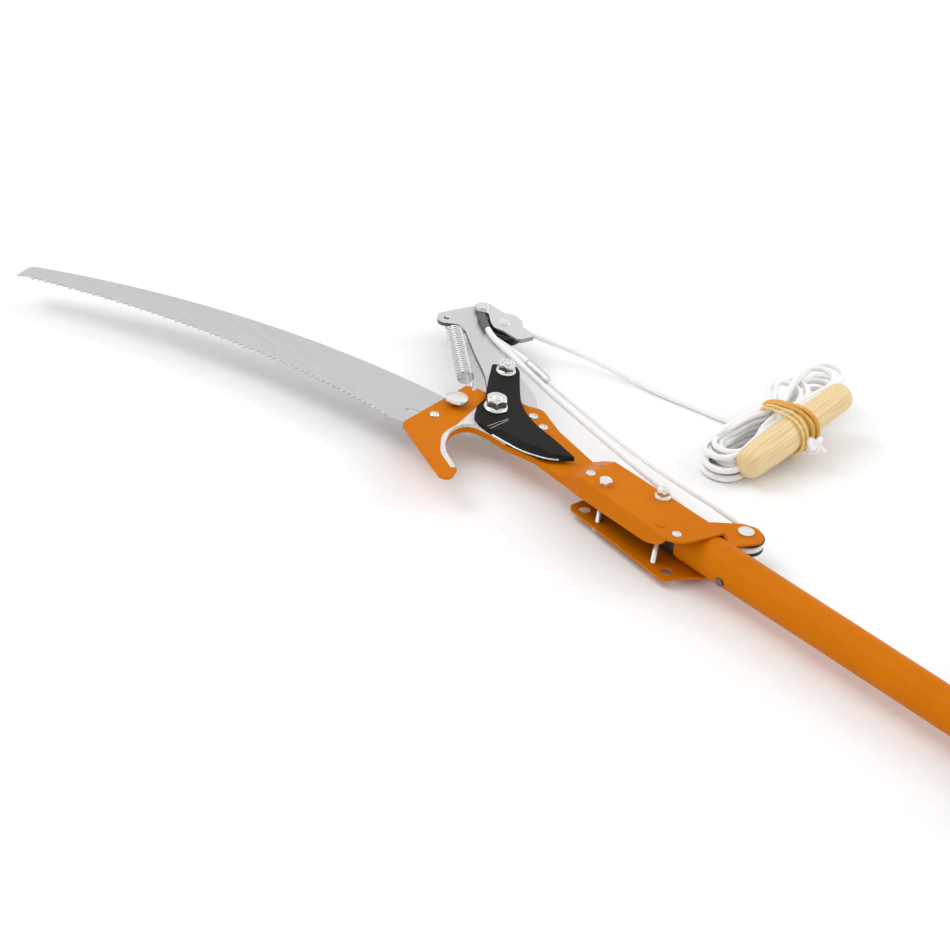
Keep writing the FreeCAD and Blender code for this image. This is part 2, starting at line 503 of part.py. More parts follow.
def snap_button():
    """Spring button that locks the pole on the adapter."""
    axis = button_axis()
    start = V(BUTTON_X, 0, 0)
    tip = Part.makeCylinder(BUTTON_R, 5.0, start + axis * 12.5, axis)
    dome = Part.makeCone(BUTTON_R, BUTTON_R - 1.2, 1.2, start + axis * 17.5, axis)
    place("snap_button", tip.fuse(dome).removeSplitter())
    spring = Part.makeCylinder(2.8, 11.4, start + axis * 1.0, axis)
    spring = spring.cut(Part.makeCylinder(2.1, 14, start, axis))
    place("button_spring", spring)


# ---- pole ------------------------------------------------------------------------------------


def pole():
    """Upper tube, lower tube, twist lock, guide bush, grip and end cap."""
    upper = tube(TUBE_START, TUBE_END, TUBE_R, TUBE_R - TUBE_WALL)
    hole = Part.makeCylinder(BUTTON_R + 0.1, 30, V(BUTTON_X, 0, 0), button_axis())
    place("upper_pole", upper.cut(hole))
    lower_bore = LOWER_R - LOWER_WALL
    place("guide_bush", tube(TUBE_END - 42, TUBE_END + 4, lower_bore - 0.1, TUBE_R).fuse(
        tube(TUBE_END, TUBE_END + 4, lower_bore - 0.1, TUBE_R - 4)).removeSplitter())
    place("lower_pole", tube(LOWER_START, LOWER_END, LOWER_R, lower_bore))

    sleeve = tube(LOWER_START - 8, LOWER_START + 62, 20.6, LOWER_R)
    sleeve = sleeve.cut(tube(LOWER_START - 9, LOWER_START, 19.4))
    sleeve = sleeve.fuse(tube(LOWER_START + 40, LOWER_START + 62, 23.0, LOWER_R)).removeSplitter()
    place("lock_sleeve", sleeve)
    collet = cone(LOWER_START - 20, LOWER_START - 0.5, 18.2, 19.3).cut(
        tube(LOWER_START - 30, LOWER_START + 10, TUBE_R + 0.08))
    slit = Part.makeBox(40, 3.0, 40, V(LOWER_START - 30, -1.5, 0))
    place("lock_collet", collet.cut(slit))
    collar = tube(LOWER_START - 24, LOWER_START + 38, COLLAR_R - 1.0, 20.9)
    cheek = tube(LOWER_START - 24, LOWER_START - 20.3, 21.5, TUBE_R + 0.4)
    collar = collar.fuse([cheek, cone(LOWER_START - 30, LOWER_START - 24, 19.0, COLLAR_R - 1.0).cut(
        tube(LOWER_START - 40, LOWER_START, TUBE_R + 0.4))]).removeSplitter()
    ribs = []
    for i in range(24):
        rib = Part.makeBox(52, 2.4, 2.0, V(LOWER_START - 20, -1.2, COLLAR_R - 2.0))
        rib.rotate(V(0, 0, 0), V(1, 0, 0), 15 * i)
        ribs.append(rib.common(tube(LOWER_START - 30, LOWER_START + 60, COLLAR_R)))
    place("lock_collar", collar.fuse(ribs).removeSplitter())

    grip = tube(GRIP_START, LOWER_END - 6, GRIP_R, LOWER_R)
    for i in range(1, 12):
        at = GRIP_START + 24 * i
        ring = Part.makeTorus(GRIP_R + 0.9, 1.6, V(at, 0, 0), V(1, 0, 0))
        grip = grip.cut(ring)
    place("pole_grip", grip)
    cap = tube(LOWER_END - 6, CAP_END - 3, CAP_R, LOWER_R).fuse(
        [tube(LOWER_END, CAP_END - 3, CAP_R), cone(CAP_END - 3, CAP_END, CAP_R, CAP_R - 3)])
    hang_hole = Part.makeCylinder(HANG_HOLE_R, 60, V(HANG_HOLE_X, 0, -30), UP)
    place("end_cap", cap.removeSplitter().cut(hang_hole))


# ---- return spring ---------------------------------------------------------------------------
SPRING_TOP = [V(*SPRING_EYE, 0.9), V(*SPRING_EYE, -4.7), V(-346.5, 68.3, -4.7)]      # up through the eye
SPRING_FOOT = V(-256.4, 6.6, 3.4)
COIL_TOP, COIL_FOOT = V(-334.1, 64.8, -1.0), V(-275.6, 18.7, 1.2)
COIL_R, WIRE_R = 6.1, 0.8


def return_spring():
    """Extension spring from the lever's eye to the notch in the seat, a straight leg at each end."""
    axis = COIL_FOOT - COIL_TOP
    length = axis.Length
    axis = axis.normalize()
    body = Part.makeCylinder(COIL_R + WIRE_R, length, COIL_TOP, axis)
    body = body.cut(Part.makeCylinder(COIL_R - WIRE_R, length, COIL_TOP, axis))
    side = axis.cross(UP).normalize() * COIL_R
    top_leg = SPRING_TOP + [COIL_TOP + side, COIL_TOP + side + axis * 4]
    foot_leg = [SPRING_FOOT, COIL_FOOT - side, COIL_FOOT - side - axis * 4]
    legs = [round_tube(path_edges(top_leg, [0, 1.2, 3, 3, 0], False), WIRE_R),
            round_tube(path_edges(foot_leg, [0, 3, 0], False), WIRE_R)]
    return body.fuse(legs).removeSplitter()


# ---- ropes -----------------------------------------------------------------------------------


def rope_radii(points, limit=0.45):
    """Arc radius at each inner corner: as large as its two runs allow."""
    radii = [0.0]
    for before, here, after in zip(points, points[1:], points[2:]):
        back, on = here - before, after - here
        half_turn = back.getAngle(on) / 2
        radii.append(limit * min(back.Length, on.Length) / math.tan(half_turn))
    return radii + [0.0]


def rope_tube(name, points, radii=None):
    """Round rope through hand-placed points; prints its length, volume and arc radii."""
    radii = radii or rope_radii(points)
    edges = path_edges(points, radii, False)
    solid = round_tube(edges, ROPE_R)
    length = sum(edge.Length for edge in edges)
    section = math.pi * ROPE_R ** 2 * length
    print(f"{name}: length {length:.0f}, volume/section {solid.Volume / section:.3f}, "
          f"arc radii {[round(r) for r in radii[1:-1]]}")
    return solid


TACKLE_NEAR = [(-318.5, 87.0, 2.8), (-307.94, 81.28, 2.8), (-285.0, 76.8, 1.8), (-243.0, 69.8, -1.8),
               (-190.0, 61.8, -4.6), (-115.0, 49.6, -5.6), (-35.0, 36.6, -4.3)]
TACKLE_FAR = [(-38.0, 60.4, -4.6), (-85.0, 65.9, -8.9), (-140.0, 72.6, -12.4), (-240.0, 84.4, -7.8),
              (-272.0, 88.2, -4.6), (-298.0, 91.2, -5.3)]
FREE_ROUTE = [(-309.0, 121.86, -5.5), (-299.0, 124.5, -5.5), (-286.0, 132.3, -7.6),
              (-268.0, 144.5, -12.0), (-245.0, 157.2, -17.2), (-220.0, 166.4, -21.6),
              (-192.0, 172.0, -22.4), (-164.0, 181.0, -22.4), (-140.0, 186.5, -22.4),
              (-118.0, 197.0, -22.4)]


UPPER_LEAVE = 104.8                       # degrees round the upper axle where the free end leaves the groove


def wheel_wrap(centre, mid, start_angle, end_angle, steps):
    """Points of a rope round a pulley groove, as polygon corners outside the groove circle."""
    turn = math.radians(end_angle - start_angle) / steps
    outer = GROOVE_R / math.cos(turn / 2)
    angles = [math.radians(start_angle) + turn * (i + 0.5) for i in range(steps)]
    return [V(centre[0] + outer * math.cos(a), centre[1] + outer * math.sin(a), mid) for a in angles]


def ropes():
    """Tackle line on both pulleys, and the free pulling end down to its hank."""
    near = [V(*p) for p in TACKLE_NEAR]
    far = [V(*p) for p in TACKLE_FAR]
    lower = wheel_wrap(LOWER_AXLE, LOWER_MID, -100.0, 95.0, 4)
    upper = wheel_wrap(UPPER_AXLE, UPPER_MID, 280.0, UPPER_LEAVE, 4)
    points = near + lower + far + upper
    radii = rope_radii(points)
    for i, here in enumerate(points):
        if here in lower or here in upper:
            radii[i] = GROOVE_R
    end = V(*FREE_ROUTE[0])
    points.append(end)
    radii.append(0.0)
    radii[-2] = GROOVE_R
    place("tackle_rope", rope_tube("tackle_rope", points, radii))
    place("free_rope", rope_tube("free_rope", [V(*p) for p in FREE_ROUTE]))


# ---- hank, handle, band ----------------------------------------------------------------------
HANDLE_R = 13.0
HANDLE_ENDS = [V(-67.5, 127.0, FLOOR + HANDLE_R + 3.4), V(-78.0, 259.0, 12.8)]
HANK_PLAN = [(-72.0, 114.0, 12), (-104.0, 112.0, 14), (-122.0, 160.0, 30), (-117.0, 205.0, 14),
             (-132.0, 228.0, 10), (-136.0, 262.0, 20), (-130.0, 302.0, 14), (-98.0, 302.0, 14),
             (-89.0, 262.0, 30), (-86.0, 215.0, 30), (-84.0, 160.0, 30)]
HANK_SIDE = [(100.0, FLOOR), (100.0, -9.0), (200.0, 10.0), (310.0, 18.0), (310.0, FLOOR)]      # (y, z)
BAND_AT, BAND_WIDTH, BAND_THICK = 0.52, 12.0, 1.4
BAND_SECTION = [(-45.0, FLOOR + 0.1, 8), (-46.0, 5.0, 10), (-16.0, 17.2, 8), (15.0, 17.4, 12),
                (15.0, -12.0, 12), (2.0, FLOOR + 0.1, 6)]          # (across the handle, z, corner radius)


def handle_body(extra=0.0):
    axis = HANDLE_ENDS[1] - HANDLE_ENDS[0]
    length = axis.Length + 2 * extra
    start = HANDLE_ENDS[0] - axis.normalize() * extra
    rod = Part.makeCylinder(HANDLE_R + extra, length, start, axis)
    if extra:
        return rod
    rims = [edge for edge in rod.Edges if edge.Curve.TypeId == "Part::GeomCircle"]
    return rod.makeFillet(7.0, rims)


def hank_and_handle():
    """Put-away rope as one bundle, the wooden toggle on it, its knot and the rubber band."""
    axis = HANDLE_ENDS[1] - HANDLE_ENDS[0]
    middle = HANDLE_ENDS[0] + axis * 0.5
    side = V(axis.y, -axis.x, 0).normalize()
    bore = Part.makeCylinder(ROPE_R + 0.5, 60, middle - side * 30, side)
    place("toggle_handle", handle_body().cut(bore))

    bundle = plate(HANK_PLAN, FLOOR, 30.0).common(end_prism(HANK_SIDE, -150.0, -60.0)).cut(handle_body(0.3))
    place("rope_hank", biggest(bundle))
    knot_at = middle + side * (HANDLE_R + 6.5)
    tail = Part.makeCylinder(ROPE_R, 9.0, knot_at, V(0.5, 0.4, -1))
    place("rope_knot", Part.makeCylinder(4.6, 9.0, knot_at - side * 4.5, side).fuse(tail).removeSplitter())


def rubber_band():
    """Band round handle and hank, square to the handle."""
    axis = HANDLE_ENDS[1] - HANDLE_ENDS[0]
    flat = V(axis.x, axis.y, 0).normalize()
    across = V(flat.y, -flat.x, 0)
    at = HANDLE_ENDS[0] + axis * BAND_AT
    centre = V(at.x, at.y, 0)
    corners = [centre + across * u + V(0, 0, z) for u, z, _ in BAND_SECTION]
    face = Part.Face(Part.Wire(path_edges(corners, [r for _, _, r in BAND_SECTION], True)))
    ring = face.cut(face.makeOffset2D(-BAND_THICK))
    return ring.extrude(flat * BAND_WIDTH)


def main():
    os.makedirs("parts", exist_ok=True)
    place("head_sheet", head_sheet())
    place("counter_blade", counter_blade())
    place("seat_plate", seat_plate())
    place("sheet_rivets", *sheet_rivets())
    place("saw_blade", saw_blade())
    saw_fasteners()
    cutting_arm()
    pivot_fasteners()
    pulley_sets()
    tube_clamp()
    snap_button()
    pole()
    place("return_spring", return_spring())
    ropes()
    hank_and_handle()
    place("rubber_band", rubber_band())


main()
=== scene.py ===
"""Telescoping pole saw: looks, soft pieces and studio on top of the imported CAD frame. Metres throughout."""
import math

import bmesh
import bpy
from mathutils import Matrix, Vector


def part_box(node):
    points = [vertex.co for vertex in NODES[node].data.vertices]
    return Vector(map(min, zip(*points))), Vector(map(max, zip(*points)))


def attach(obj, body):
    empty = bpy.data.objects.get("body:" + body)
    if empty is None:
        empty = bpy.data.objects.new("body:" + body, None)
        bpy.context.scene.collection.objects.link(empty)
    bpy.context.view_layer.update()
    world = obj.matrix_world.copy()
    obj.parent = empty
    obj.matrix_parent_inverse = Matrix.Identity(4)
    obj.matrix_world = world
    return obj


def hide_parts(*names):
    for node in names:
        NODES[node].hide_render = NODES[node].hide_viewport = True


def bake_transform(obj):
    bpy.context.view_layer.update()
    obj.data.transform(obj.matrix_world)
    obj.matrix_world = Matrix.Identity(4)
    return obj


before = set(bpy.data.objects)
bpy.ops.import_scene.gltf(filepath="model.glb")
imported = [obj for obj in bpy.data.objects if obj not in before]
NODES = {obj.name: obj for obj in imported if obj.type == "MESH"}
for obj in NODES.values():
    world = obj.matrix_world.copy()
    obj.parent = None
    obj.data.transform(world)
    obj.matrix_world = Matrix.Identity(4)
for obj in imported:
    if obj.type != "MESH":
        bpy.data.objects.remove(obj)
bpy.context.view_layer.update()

UP = Vector((0, 0, 1))


# ---- camera ------------------------


CAMERA_AT, CAMERA_TURN, CAMERA_LENS = (1.1808, -2.2013, 1.7873), (40, 32, 9.5), 163.0


def studio_camera():
    """Long lens, looking down the pole from the butt's side, slightly rolled."""
    azimuth, elevation, roll = (math.radians(angle) for angle in CAMERA_TURN)
    back = Vector((math.sin(azimuth) * math.cos(elevation), -math.cos(azimuth) * math.cos(elevation),
                   math.sin(elevation)))
    right = UP.cross(back).normalized()
    up = back.cross(right)
    rolled_right = right * math.cos(roll) + up * math.sin(roll)
    rolled_up = back.cross(rolled_right)
    camera = bpy.data.objects.new("camera", bpy.data.cameras.new("camera"))
    bpy.context.collection.objects.link(camera)
    turn = Matrix((rolled_right, rolled_up, back)).transposed().to_4x4()
    camera.matrix_world = Matrix.Translation(CAMERA_AT) @ turn
    camera.data.lens = CAMERA_LENS
    camera.data.sensor_width = 36.0
    camera.data.clip_end = 60.0
    bpy.context.scene.camera = camera


studio_camera()


# ---- mesh helpers ------------------------


def add_object(name, data):
    obj = bpy.data.objects.new(name, data)
    bpy.context.collection.objects.link(obj)
    return obj


def add_mesh(name, verts, faces, smooth=True):
    mesh = bpy.data.meshes.new(name)
    mesh.from_pydata(verts, [], faces)
    mesh.polygons.foreach_set("use_smooth", [smooth] * len(faces))
    mesh.update()
    return add_object(name, mesh)


def add_uv_mesh(name, verts, faces, uvs):
    obj = add_mesh(name, verts, faces)
    layer = obj.data.uv_layers.new(name="UVMap")
    layer.data.foreach_set("uv", [value for uv in uvs for value in uv])
    return obj


def facing_out(piece):
    """Turns every face to look outwards."""
    shell = bmesh.new()
    shell.from_mesh(piece.data)
    bmesh.ops.recalc_face_normals(shell, faces=shell.faces)
    shell.to_mesh(piece.data)
    shell.free()
    return piece


def smooth_path(points, resolution, closed=False):
    """Points along the NURBS spline whose control points are the route's."""
    curve = bpy.data.curves.new("route", "CURVE")
    curve.dimensions = "3D"
    curve.resolution_u = resolution
    spline = curve.splines.new("NURBS")
    spline.points.add(len(points) - 1)
    for point, place in zip(spline.points, points):
        point.co = (*place, 1.0)
    spline.order_u = 3
    spline.use_endpoint_u = not closed
    spline.use_cyclic_u = closed
    route = add_object("route", curve)
    bpy.context.view_layer.update()
    mesh = bpy.data.meshes.new_from_object(route.evaluated_get(bpy.context.evaluated_depsgraph_get()))
    path = [vertex.co.copy() for vertex in mesh.vertices]
    bpy.data.objects.remove(route)
    bpy.data.curves.remove(curve)
    bpy.data.meshes.remove(mesh)
    return path


def ring_frames(path, closed=False):
    """(point, side, up) at each point, turned as little as possible from one to the next."""
    count = len(path)
    frames = []
    side = None
    for i, here in enumerate(path):
        before = path[i - 1] if (i or closed) else here
        after = path[(i + 1) % count] if (i < count - 1 or closed) else here
        along = (after - before).normalized()
        if side is None:
            side = along.cross(UP if abs(along.z) < 0.9 else Vector((1, 0, 0)))
        side = (side - along * side.dot(along)).normalized()
        frames.append((here, side, along.cross(side)))
    return frames


def tube_mesh(name, path, radius, around=12, closed=False, shape=None):
    """Tube round a path. UVs hold metres along it and turns round it; shape(u, v) scales the radius."""
    frames = ring_frames(path, closed)
    lengths = [0.0]
    for a, b in zip(path, path[1:]):
        lengths.append(lengths[-1] + (b - a).length)
    verts = []
    for (here, side, up), u in zip(frames, lengths):
        for k in range(around):
            angle = 2 * math.pi * k / around
            grow = shape(u, k / around) if shape else 1.0
            verts.append(here + (side * math.cos(angle) + up * math.sin(angle)) * radius * grow)
    rings = len(frames)
    faces, uvs = [], []
    for i in range(rings if closed else rings - 1):
        j = (i + 1) % rings
        u0 = lengths[i]
        u1 = lengths[j] if j else u0 + (path[0] - path[i]).length
        for k in range(around):
            m = (k + 1) % around
            faces.append((i * around + k, j * around + k, j * around + m, i * around + m))
            uvs += [(u0, k / around), (u1, k / around), (u1, (k + 1) / around), (u0, (k + 1) / around)]
    if not closed:
        for ring, flip in ((0, False), (rings - 1, True)):
            cap = [ring * around + k for k in range(around)]
            faces.append(tuple(cap[::-1] if flip else cap))
            uvs += [(lengths[ring], k / around) for k in (range(around)[::-1] if flip else range(around))]
    return add_uv_mesh(name, verts, faces, uvs)


def turned(name, start, axis, profile, around):
    """Body of revolution from (distance along the axis, radius) pairs."""
    axis = axis.normalized()
    side = axis.orthogonal().normalized()
    up = axis.cross(side)
    verts, uvs, faces = [], [], []
    for t, radius in profile:
        for k in range(around):
            angle = 2 * math.pi * k / around
            verts.append(start + axis * t + (side * math.cos(angle) + up * math.sin(angle)) * radius)
    for i in range(len(profile) - 1):
        for k in range(around):
            m = (k + 1) % around
            faces.append((i * around + k, i * around + m, (i + 1) * around + m, (i + 1) * around + k))
            uvs += [(profile[i][0], k / around), (profile[i][0], (k + 1) / around),
                    (profile[i + 1][0], (k + 1) / around), (profile[i + 1][0], k / around)]
    last = (len(profile) - 1) * around
    faces.append(tuple(range(around))[::-1])
    faces.append(tuple(last + k for k in range(around)))
    uvs += [(profile[0][0], 0.0)] * around + [(profile[-1][0], 0.0)] * around
    return add_uv_mesh(name, verts, faces, uvs)


# ---- ropes ------------------------
ROPE_D = 0.005
UPPER_AXLE = Vector((-0.7805, 0.141, 0.0195))
LOWER_AXLE = Vector((-0.4535, 0.077, 0.0214))
GROOVE_R = 0.013
BRAID_PITCH, BRAID_STRANDS = 0.0036, 4      # the relief's length along the rope and its waves round it
TACKLE_NEAR = [(-0.781, 0.122, 0.0278), (-0.7704, 0.1163, 0.0278), (-0.7475, 0.1118, 0.0268),
               (-0.7055, 0.1048, 0.0232), (-0.6525, 0.0968, 0.0204), (-0.5775, 0.0846, 0.0194),
               (-0.4975, 0.0716, 0.0207)]
TACKLE_FAR = [(-0.5005, 0.0954, 0.0204), (-0.5475, 0.1009, 0.0161), (-0.6025, 0.1076, 0.0126),
              (-0.7025, 0.1194, 0.0172), (-0.7345, 0.1232, 0.0204), (-0.7605, 0.1262, 0.0197)]
FREE_ROUTE = [(-0.7715, 0.1569, 0.0195), (-0.7615, 0.1595, 0.0195), (-0.7485, 0.1673, 0.0174),
              (-0.7305, 0.1795, 0.013), (-0.7075, 0.1922, 0.0078), (-0.6825, 0.2014, 0.0034),
              (-0.6545, 0.207, 0.0026), (-0.6265, 0.216, 0.0026), (-0.6025, 0.2215, 0.0026),
              (-0.5901, 0.2277, 0.0026), (-0.5800, 0.2240, 0.0027), (-0.5763, 0.2139, 0.0028)]
KNOT_AT = Vector((-0.5162, 0.2306, 0.0222))
TAIL_ROUTE = [(-0.5560, 0.2285, 0.0272), (-0.5440, 0.2268, 0.0272), (-0.5330, 0.2282, 0.0271),
              (-0.5225, 0.2293, 0.0262), KNOT_AT]


def wheel_wrap(axle, start_degrees, end_degrees, steps):
    """Control points round a pulley's groove, outside the circle that the rope's line lies on."""
    turn = math.radians(end_degrees - start_degrees) / steps
    outer = GROOVE_R / math.cos(turn / 2)
    angles = [math.radians(start_degrees) + turn * (i + 0.5) for i in range(steps)]
    return [axle + Vector((math.cos(a), math.sin(a), 0)) * outer for a in angles]


def braid(u, v):
    """Slight relief of crossing strands: u metres along the rope, v turns round it."""
    along, around = u / BRAID_PITCH, BRAID_STRANDS * v
    return 1.0 + 0.022 * math.sin(2 * math.pi * (along + around)) * math.sin(2 * math.pi * (along - around))


def tackle_rope():
    """The line from the lever round the lower pulley, back to the upper pulley and off to the free end."""
    route = [Vector(p) for p in TACKLE_NEAR] + wheel_wrap(LOWER_AXLE, -100, 95, 4)
    route += [Vector(p) for p in TACKLE_FAR] + wheel_wrap(UPPER_AXLE, 280, 104.8, 4) + [Vector(FREE_ROUTE[0])]
    path = smooth_path(route, 16)
    rope = tube_mesh("tackle_rope_braid", path, ROPE_D / 2, 16, shape=braid)
    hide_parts("tackle_rope")
    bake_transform(rope)
    back_run = path[len(path) // 2:]
    return rope, [p for p in back_run if -0.7345 < p.x < -0.7025 and p.y < 0.13]


def rope_sleeve(path):
    """Crimped sleeve on the run back from the lower pulley, with a short tapered mouth."""
    length = sum((b - a).length for a, b in zip(path, path[1:]))

    def crimps(u, v):
        waist = max(0.0, math.sin(u / length * math.pi * 6)) ** 2 if u > 0.006 else 0.0
        mouth = min(1.0, 0.72 + 0.28 * u / 0.006) * min(1.0, 0.82 + 0.18 * (length - u) / 0.001)
        return (1.0 - 0.15 * waist * (0.5 + 0.5 * math.cos(4 * math.pi * v))) * mouth

    sleeve = tube_mesh("rope_sleeve", path, 0.0038, 20, shape=crimps)
    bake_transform(sleeve)
    return sleeve


HANK_ROWS = 5
NEAR_LOOPS = Vector((-0.5515, 0.1525, 0))
TIE = Vector((-0.5625, 0.2400, 0))
FAR_LOOPS = Vector((-0.5750, 0.3165, 0))
# For each loop in mm: the near fold's pull-in, half width, lean and bulge, then the far fold's
# push-out, half width and lean.
HANK_LOOPS = [
    (1.0, 17.0, -1.0, 20.0, 3.0, 13.8, 1.0), (6.0, 15.0, 2.5, 16.0, -4.0, 14.4, -2.5),
    (-1.0, 14.5, -2.5, 19.0, 5.0, 13.8, 3.5), (10.0, 16.0, 1.5, 14.0, -41.0, 13.8, 16.0),
    (3.0, 14.4, 3.5, 15.0, 1.0, 14.2, -1.5), (15.0, 13.8, -1.5, 12.0, -11.0, 13.8, 2.5),
    (20.0, 13.8, 2.5, 11.0, -16.0, 13.8, -1.0), (12.0, 13.8, -3.0, 13.0, -6.0, 13.8, 2.0),
    (22.0, 13.8, 0.5, 10.0, -33.0, 13.8, 12.0), (16.0, 13.8, 3.0, 11.0, -10.0, 13.8, 0.5)]
FOLD = 0.0045      # how far a fold's corner points stand before and behind its middle


def hank_turn(k):
    """Control points of one loop: from the tie round the near fold, and through the tie round the far fold."""
    row, nest = k % HANK_ROWS, k // HANK_ROWS
    loop = [mm / 1000 for mm in HANK_LOOPS[k]]
    near_in, near_half, near_lean, bulge, far_out, far_half, far_lean = loop
    along = (FAR_LOOPS - NEAR_LOOPS).normalized()
    across = Vector((-along.y, along.x, 0))
    near_z, tie_z, far_z = 0.0027 + 0.0040 * row, 0.0042 + 0.0060 * row, 0.0050 + 0.0072 * row
    far_leg_z = 0.6 * tie_z + 0.4 * far_z
    column = 0.0090 - 0.0056 * nest
    near = NEAR_LOOPS + along * near_in + across * near_lean
    far = FAR_LOOPS + along * far_out + across * far_lean
    out = (far - TIE).normalized()
    leg = -min(0.016, 0.30 * (far - TIE).length)
    near_side = (      # (from, shift ahead, shift across, height)
        (TIE, -0.010, column, tie_z),
        (TIE.lerp(near, 0.36), 0, bulge, 0.64 * tie_z + 0.36 * near_z),
        (TIE.lerp(near, 0.68), 0, 0.5 * (near_half + bulge), 0.3 * tie_z + 0.7 * near_z),
        (near, 0.015, near_half, near_z),
        (near, FOLD, 0.93 * near_half, near_z),
        (near, -FOLD, 0.43 * near_half, near_z + 0.0006),
        (near, -FOLD, -0.43 * near_half, near_z + 0.0009),
        (near, FOLD, -0.93 * near_half, near_z + 0.001),
        (near, 0.015, -near_half, near_z + 0.001),
        (TIE.lerp(near, 0.62), 0, -0.80 * near_half, 0.34 * tie_z + 0.66 * near_z),
        (TIE.lerp(near, 0.34), 0, -column, 0.66 * tie_z + 0.34 * near_z),
        (TIE, 0.004, -column, tie_z))
    far_side = (
        (TIE.lerp(far, 0.40), 0, -0.5 * (column + far_half), far_leg_z),
        (far, leg, -far_half, far_z),
        (far, -FOLD, -0.93 * far_half, far_z),
        (far, FOLD, -0.43 * far_half, far_z + 0.0006),
        (far, FOLD, 0.43 * far_half, far_z + 0.0008),
        (far, -FOLD, 0.93 * far_half, far_z + 0.001),
        (far, leg, far_half, far_z),
        (TIE.lerp(far, 0.40), 0, 0.5 * (column + far_half), far_leg_z))
    points = []
    for ahead, group in ((along, near_side), (out, far_side)):
        for base, shift, side, level in group:
            point = base + ahead * shift + Vector((-ahead.y, ahead.x, 0)) * side
            points.append(Vector((point.x, point.y, level)))
    return points


def free_rope():
    """The pulling end: off the upper pulley, over the ground, through its hank and on to its knot."""
    route = [Vector(p) for p in FREE_ROUTE] + hank_turn(0)[1:]
    for k in range(1, len(HANK_LOOPS)):
        route += hank_turn(k)
    route += [Vector(p) for p in TAIL_ROUTE]
    path = smooth_path(route, 8)
    rope = tube_mesh("free_rope_braid", path, ROPE_D / 2, 12, shape=braid)
    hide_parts("free_rope", "rope_hank")
    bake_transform(rope)
    knot = stopper_knot()
    return [rope, knot]


def stopper_knot():
    """Overhand knot pulled up tight beside the toggle, with its short tail."""
    size, count = 0.0026, 72
    path = []
    for i in range(count):
        t = 2 * math.pi * i / count
        path.append(KNOT_AT + Vector((-math.sin(3 * t) * 0.95, math.sin(t) + 1.6 * math.sin(2 * t),
                                      math.cos(t) - 1.6 * math.cos(2 * t))) * size)
    knot = tube_mesh("stopper_knot", path, ROPE_D / 2, 14, closed=True, shape=braid)
    tail_route = [KNOT_AT + Vector(p) for p in ((0.001, 0.002, -0.001), (0.004, 0.006, -0.003),
                                                (0.007, 0.007, -0.006))]
    tail = tube_mesh("stopper_tail", smooth_path(tail_route, 8), ROPE_D / 2, 14, shape=braid)
    with bpy.context.temp_override(active_object=knot, selected_editable_objects=[knot, tail]):
        bpy.ops.object.join()
    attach(knot, "head")
    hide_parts("rope_knot")
    return knot


# ---- toggle ------------------------
TOGGLE_NEAR, TOGGLE_FAR = Vector((-0.530, 0.162, 0.0164)), Vector((-0.5405, 0.294, 0.0378))
TOGGLE_R, TOGGLE_SWELL, TOGGLE_RINGS = 0.0122, 0.0017, 56


def toggle():
    """Turned wooden handle: fuller towards the near end, ends rounded over."""
    axis = TOGGLE_FAR - TOGGLE_NEAR
    length = axis.length
    profile = []
    for i in range(TOGGLE_RINGS + 1):
        t = length * i / TOGGLE_RINGS
        body = TOGGLE_R + TOGGLE_SWELL * math.sin(math.pi * min(1.0, t / length / 0.66)) ** 1.5
        gap = min(t, length - t)
        round_off = 0.0085 if t < length / 2 else 0.0100
        if gap < round_off:
            body -= round_off - math.sqrt(round_off ** 2 - (round_off - gap) ** 2)
        profile.append((t, max(body, 0.003)))
    handle = turned("toggle_turned", TOGGLE_NEAR, axis, profile, 56)
    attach(handle, "head")
    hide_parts("toggle_handle")
    return handle


TOGGLE = toggle()
TACKLE, SLEEVE_PATH = tackle_rope()
ROPES = [TACKLE, *free_rope()]
SLEEVE = rope_sleeve(SLEEVE_PATH)


# ---- saw blade ------------------------
# Back and tooth line are arcs through three points.
SAW_BACK = [(-1.0505, -0.133), (-0.8915, -0.035), (-0.7235, 0.0155)]
SAW_ROOTS = [(-1.0415, -0.1465), (-0.8835, -0.0725), (-0.7325, -0.041)]
SAW_TANG = [(-0.7285, -0.041), (-0.7125, -0.0365), (-0.7085, -0.036), (-0.6975, -0.017), (-0.696, 0.005),
            (-0.7005, 0.019)]
SAW_TIP = [(-1.0525, -0.1375), (-1.0485, -0.1545)]
TOOTH_PITCH, TOOTH_DEPTH, TOOTH_SET, TOOTH_EDGE = 0.0052, 0.0036, 0.0004, 0.00012
SLOT_START, SLOT_END, SLOT_HALF = Vector((-0.7255, -0.0225)), Vector((-0.7075, -0.0120)), 0.0027


def arc_through(three, count):
    """Evenly spaced (x, y) points on the arc through three points, ends included."""
    (ax, ay), (bx, by), (cx, cy) = three
    d = 2 * (ax * (by - cy) + bx * (cy - ay) + cx * (ay - by))
    a2, b2, c2 = ax * ax + ay * ay, bx * bx + by * by, cx * cx + cy * cy
    centre = Vector(((a2 * (by - cy) + b2 * (cy - ay) + c2 * (ay - by)) / d,
                     (a2 * (cx - bx) + b2 * (ax - cx) + c2 * (bx - ax)) / d))
    radius = (Vector((ax, ay)) - centre).length
    first = math.atan2(ay - centre.y, ax - centre.x)
    last = math.atan2(cy - centre.y, cx - centre.x)
    turn = (last - first + math.pi) % (2 * math.pi) - math.pi
    return [centre + Vector((math.cos(first + turn * i / count), math.sin(first + turn * i / count))) * radius
            for i in range(count + 1)]


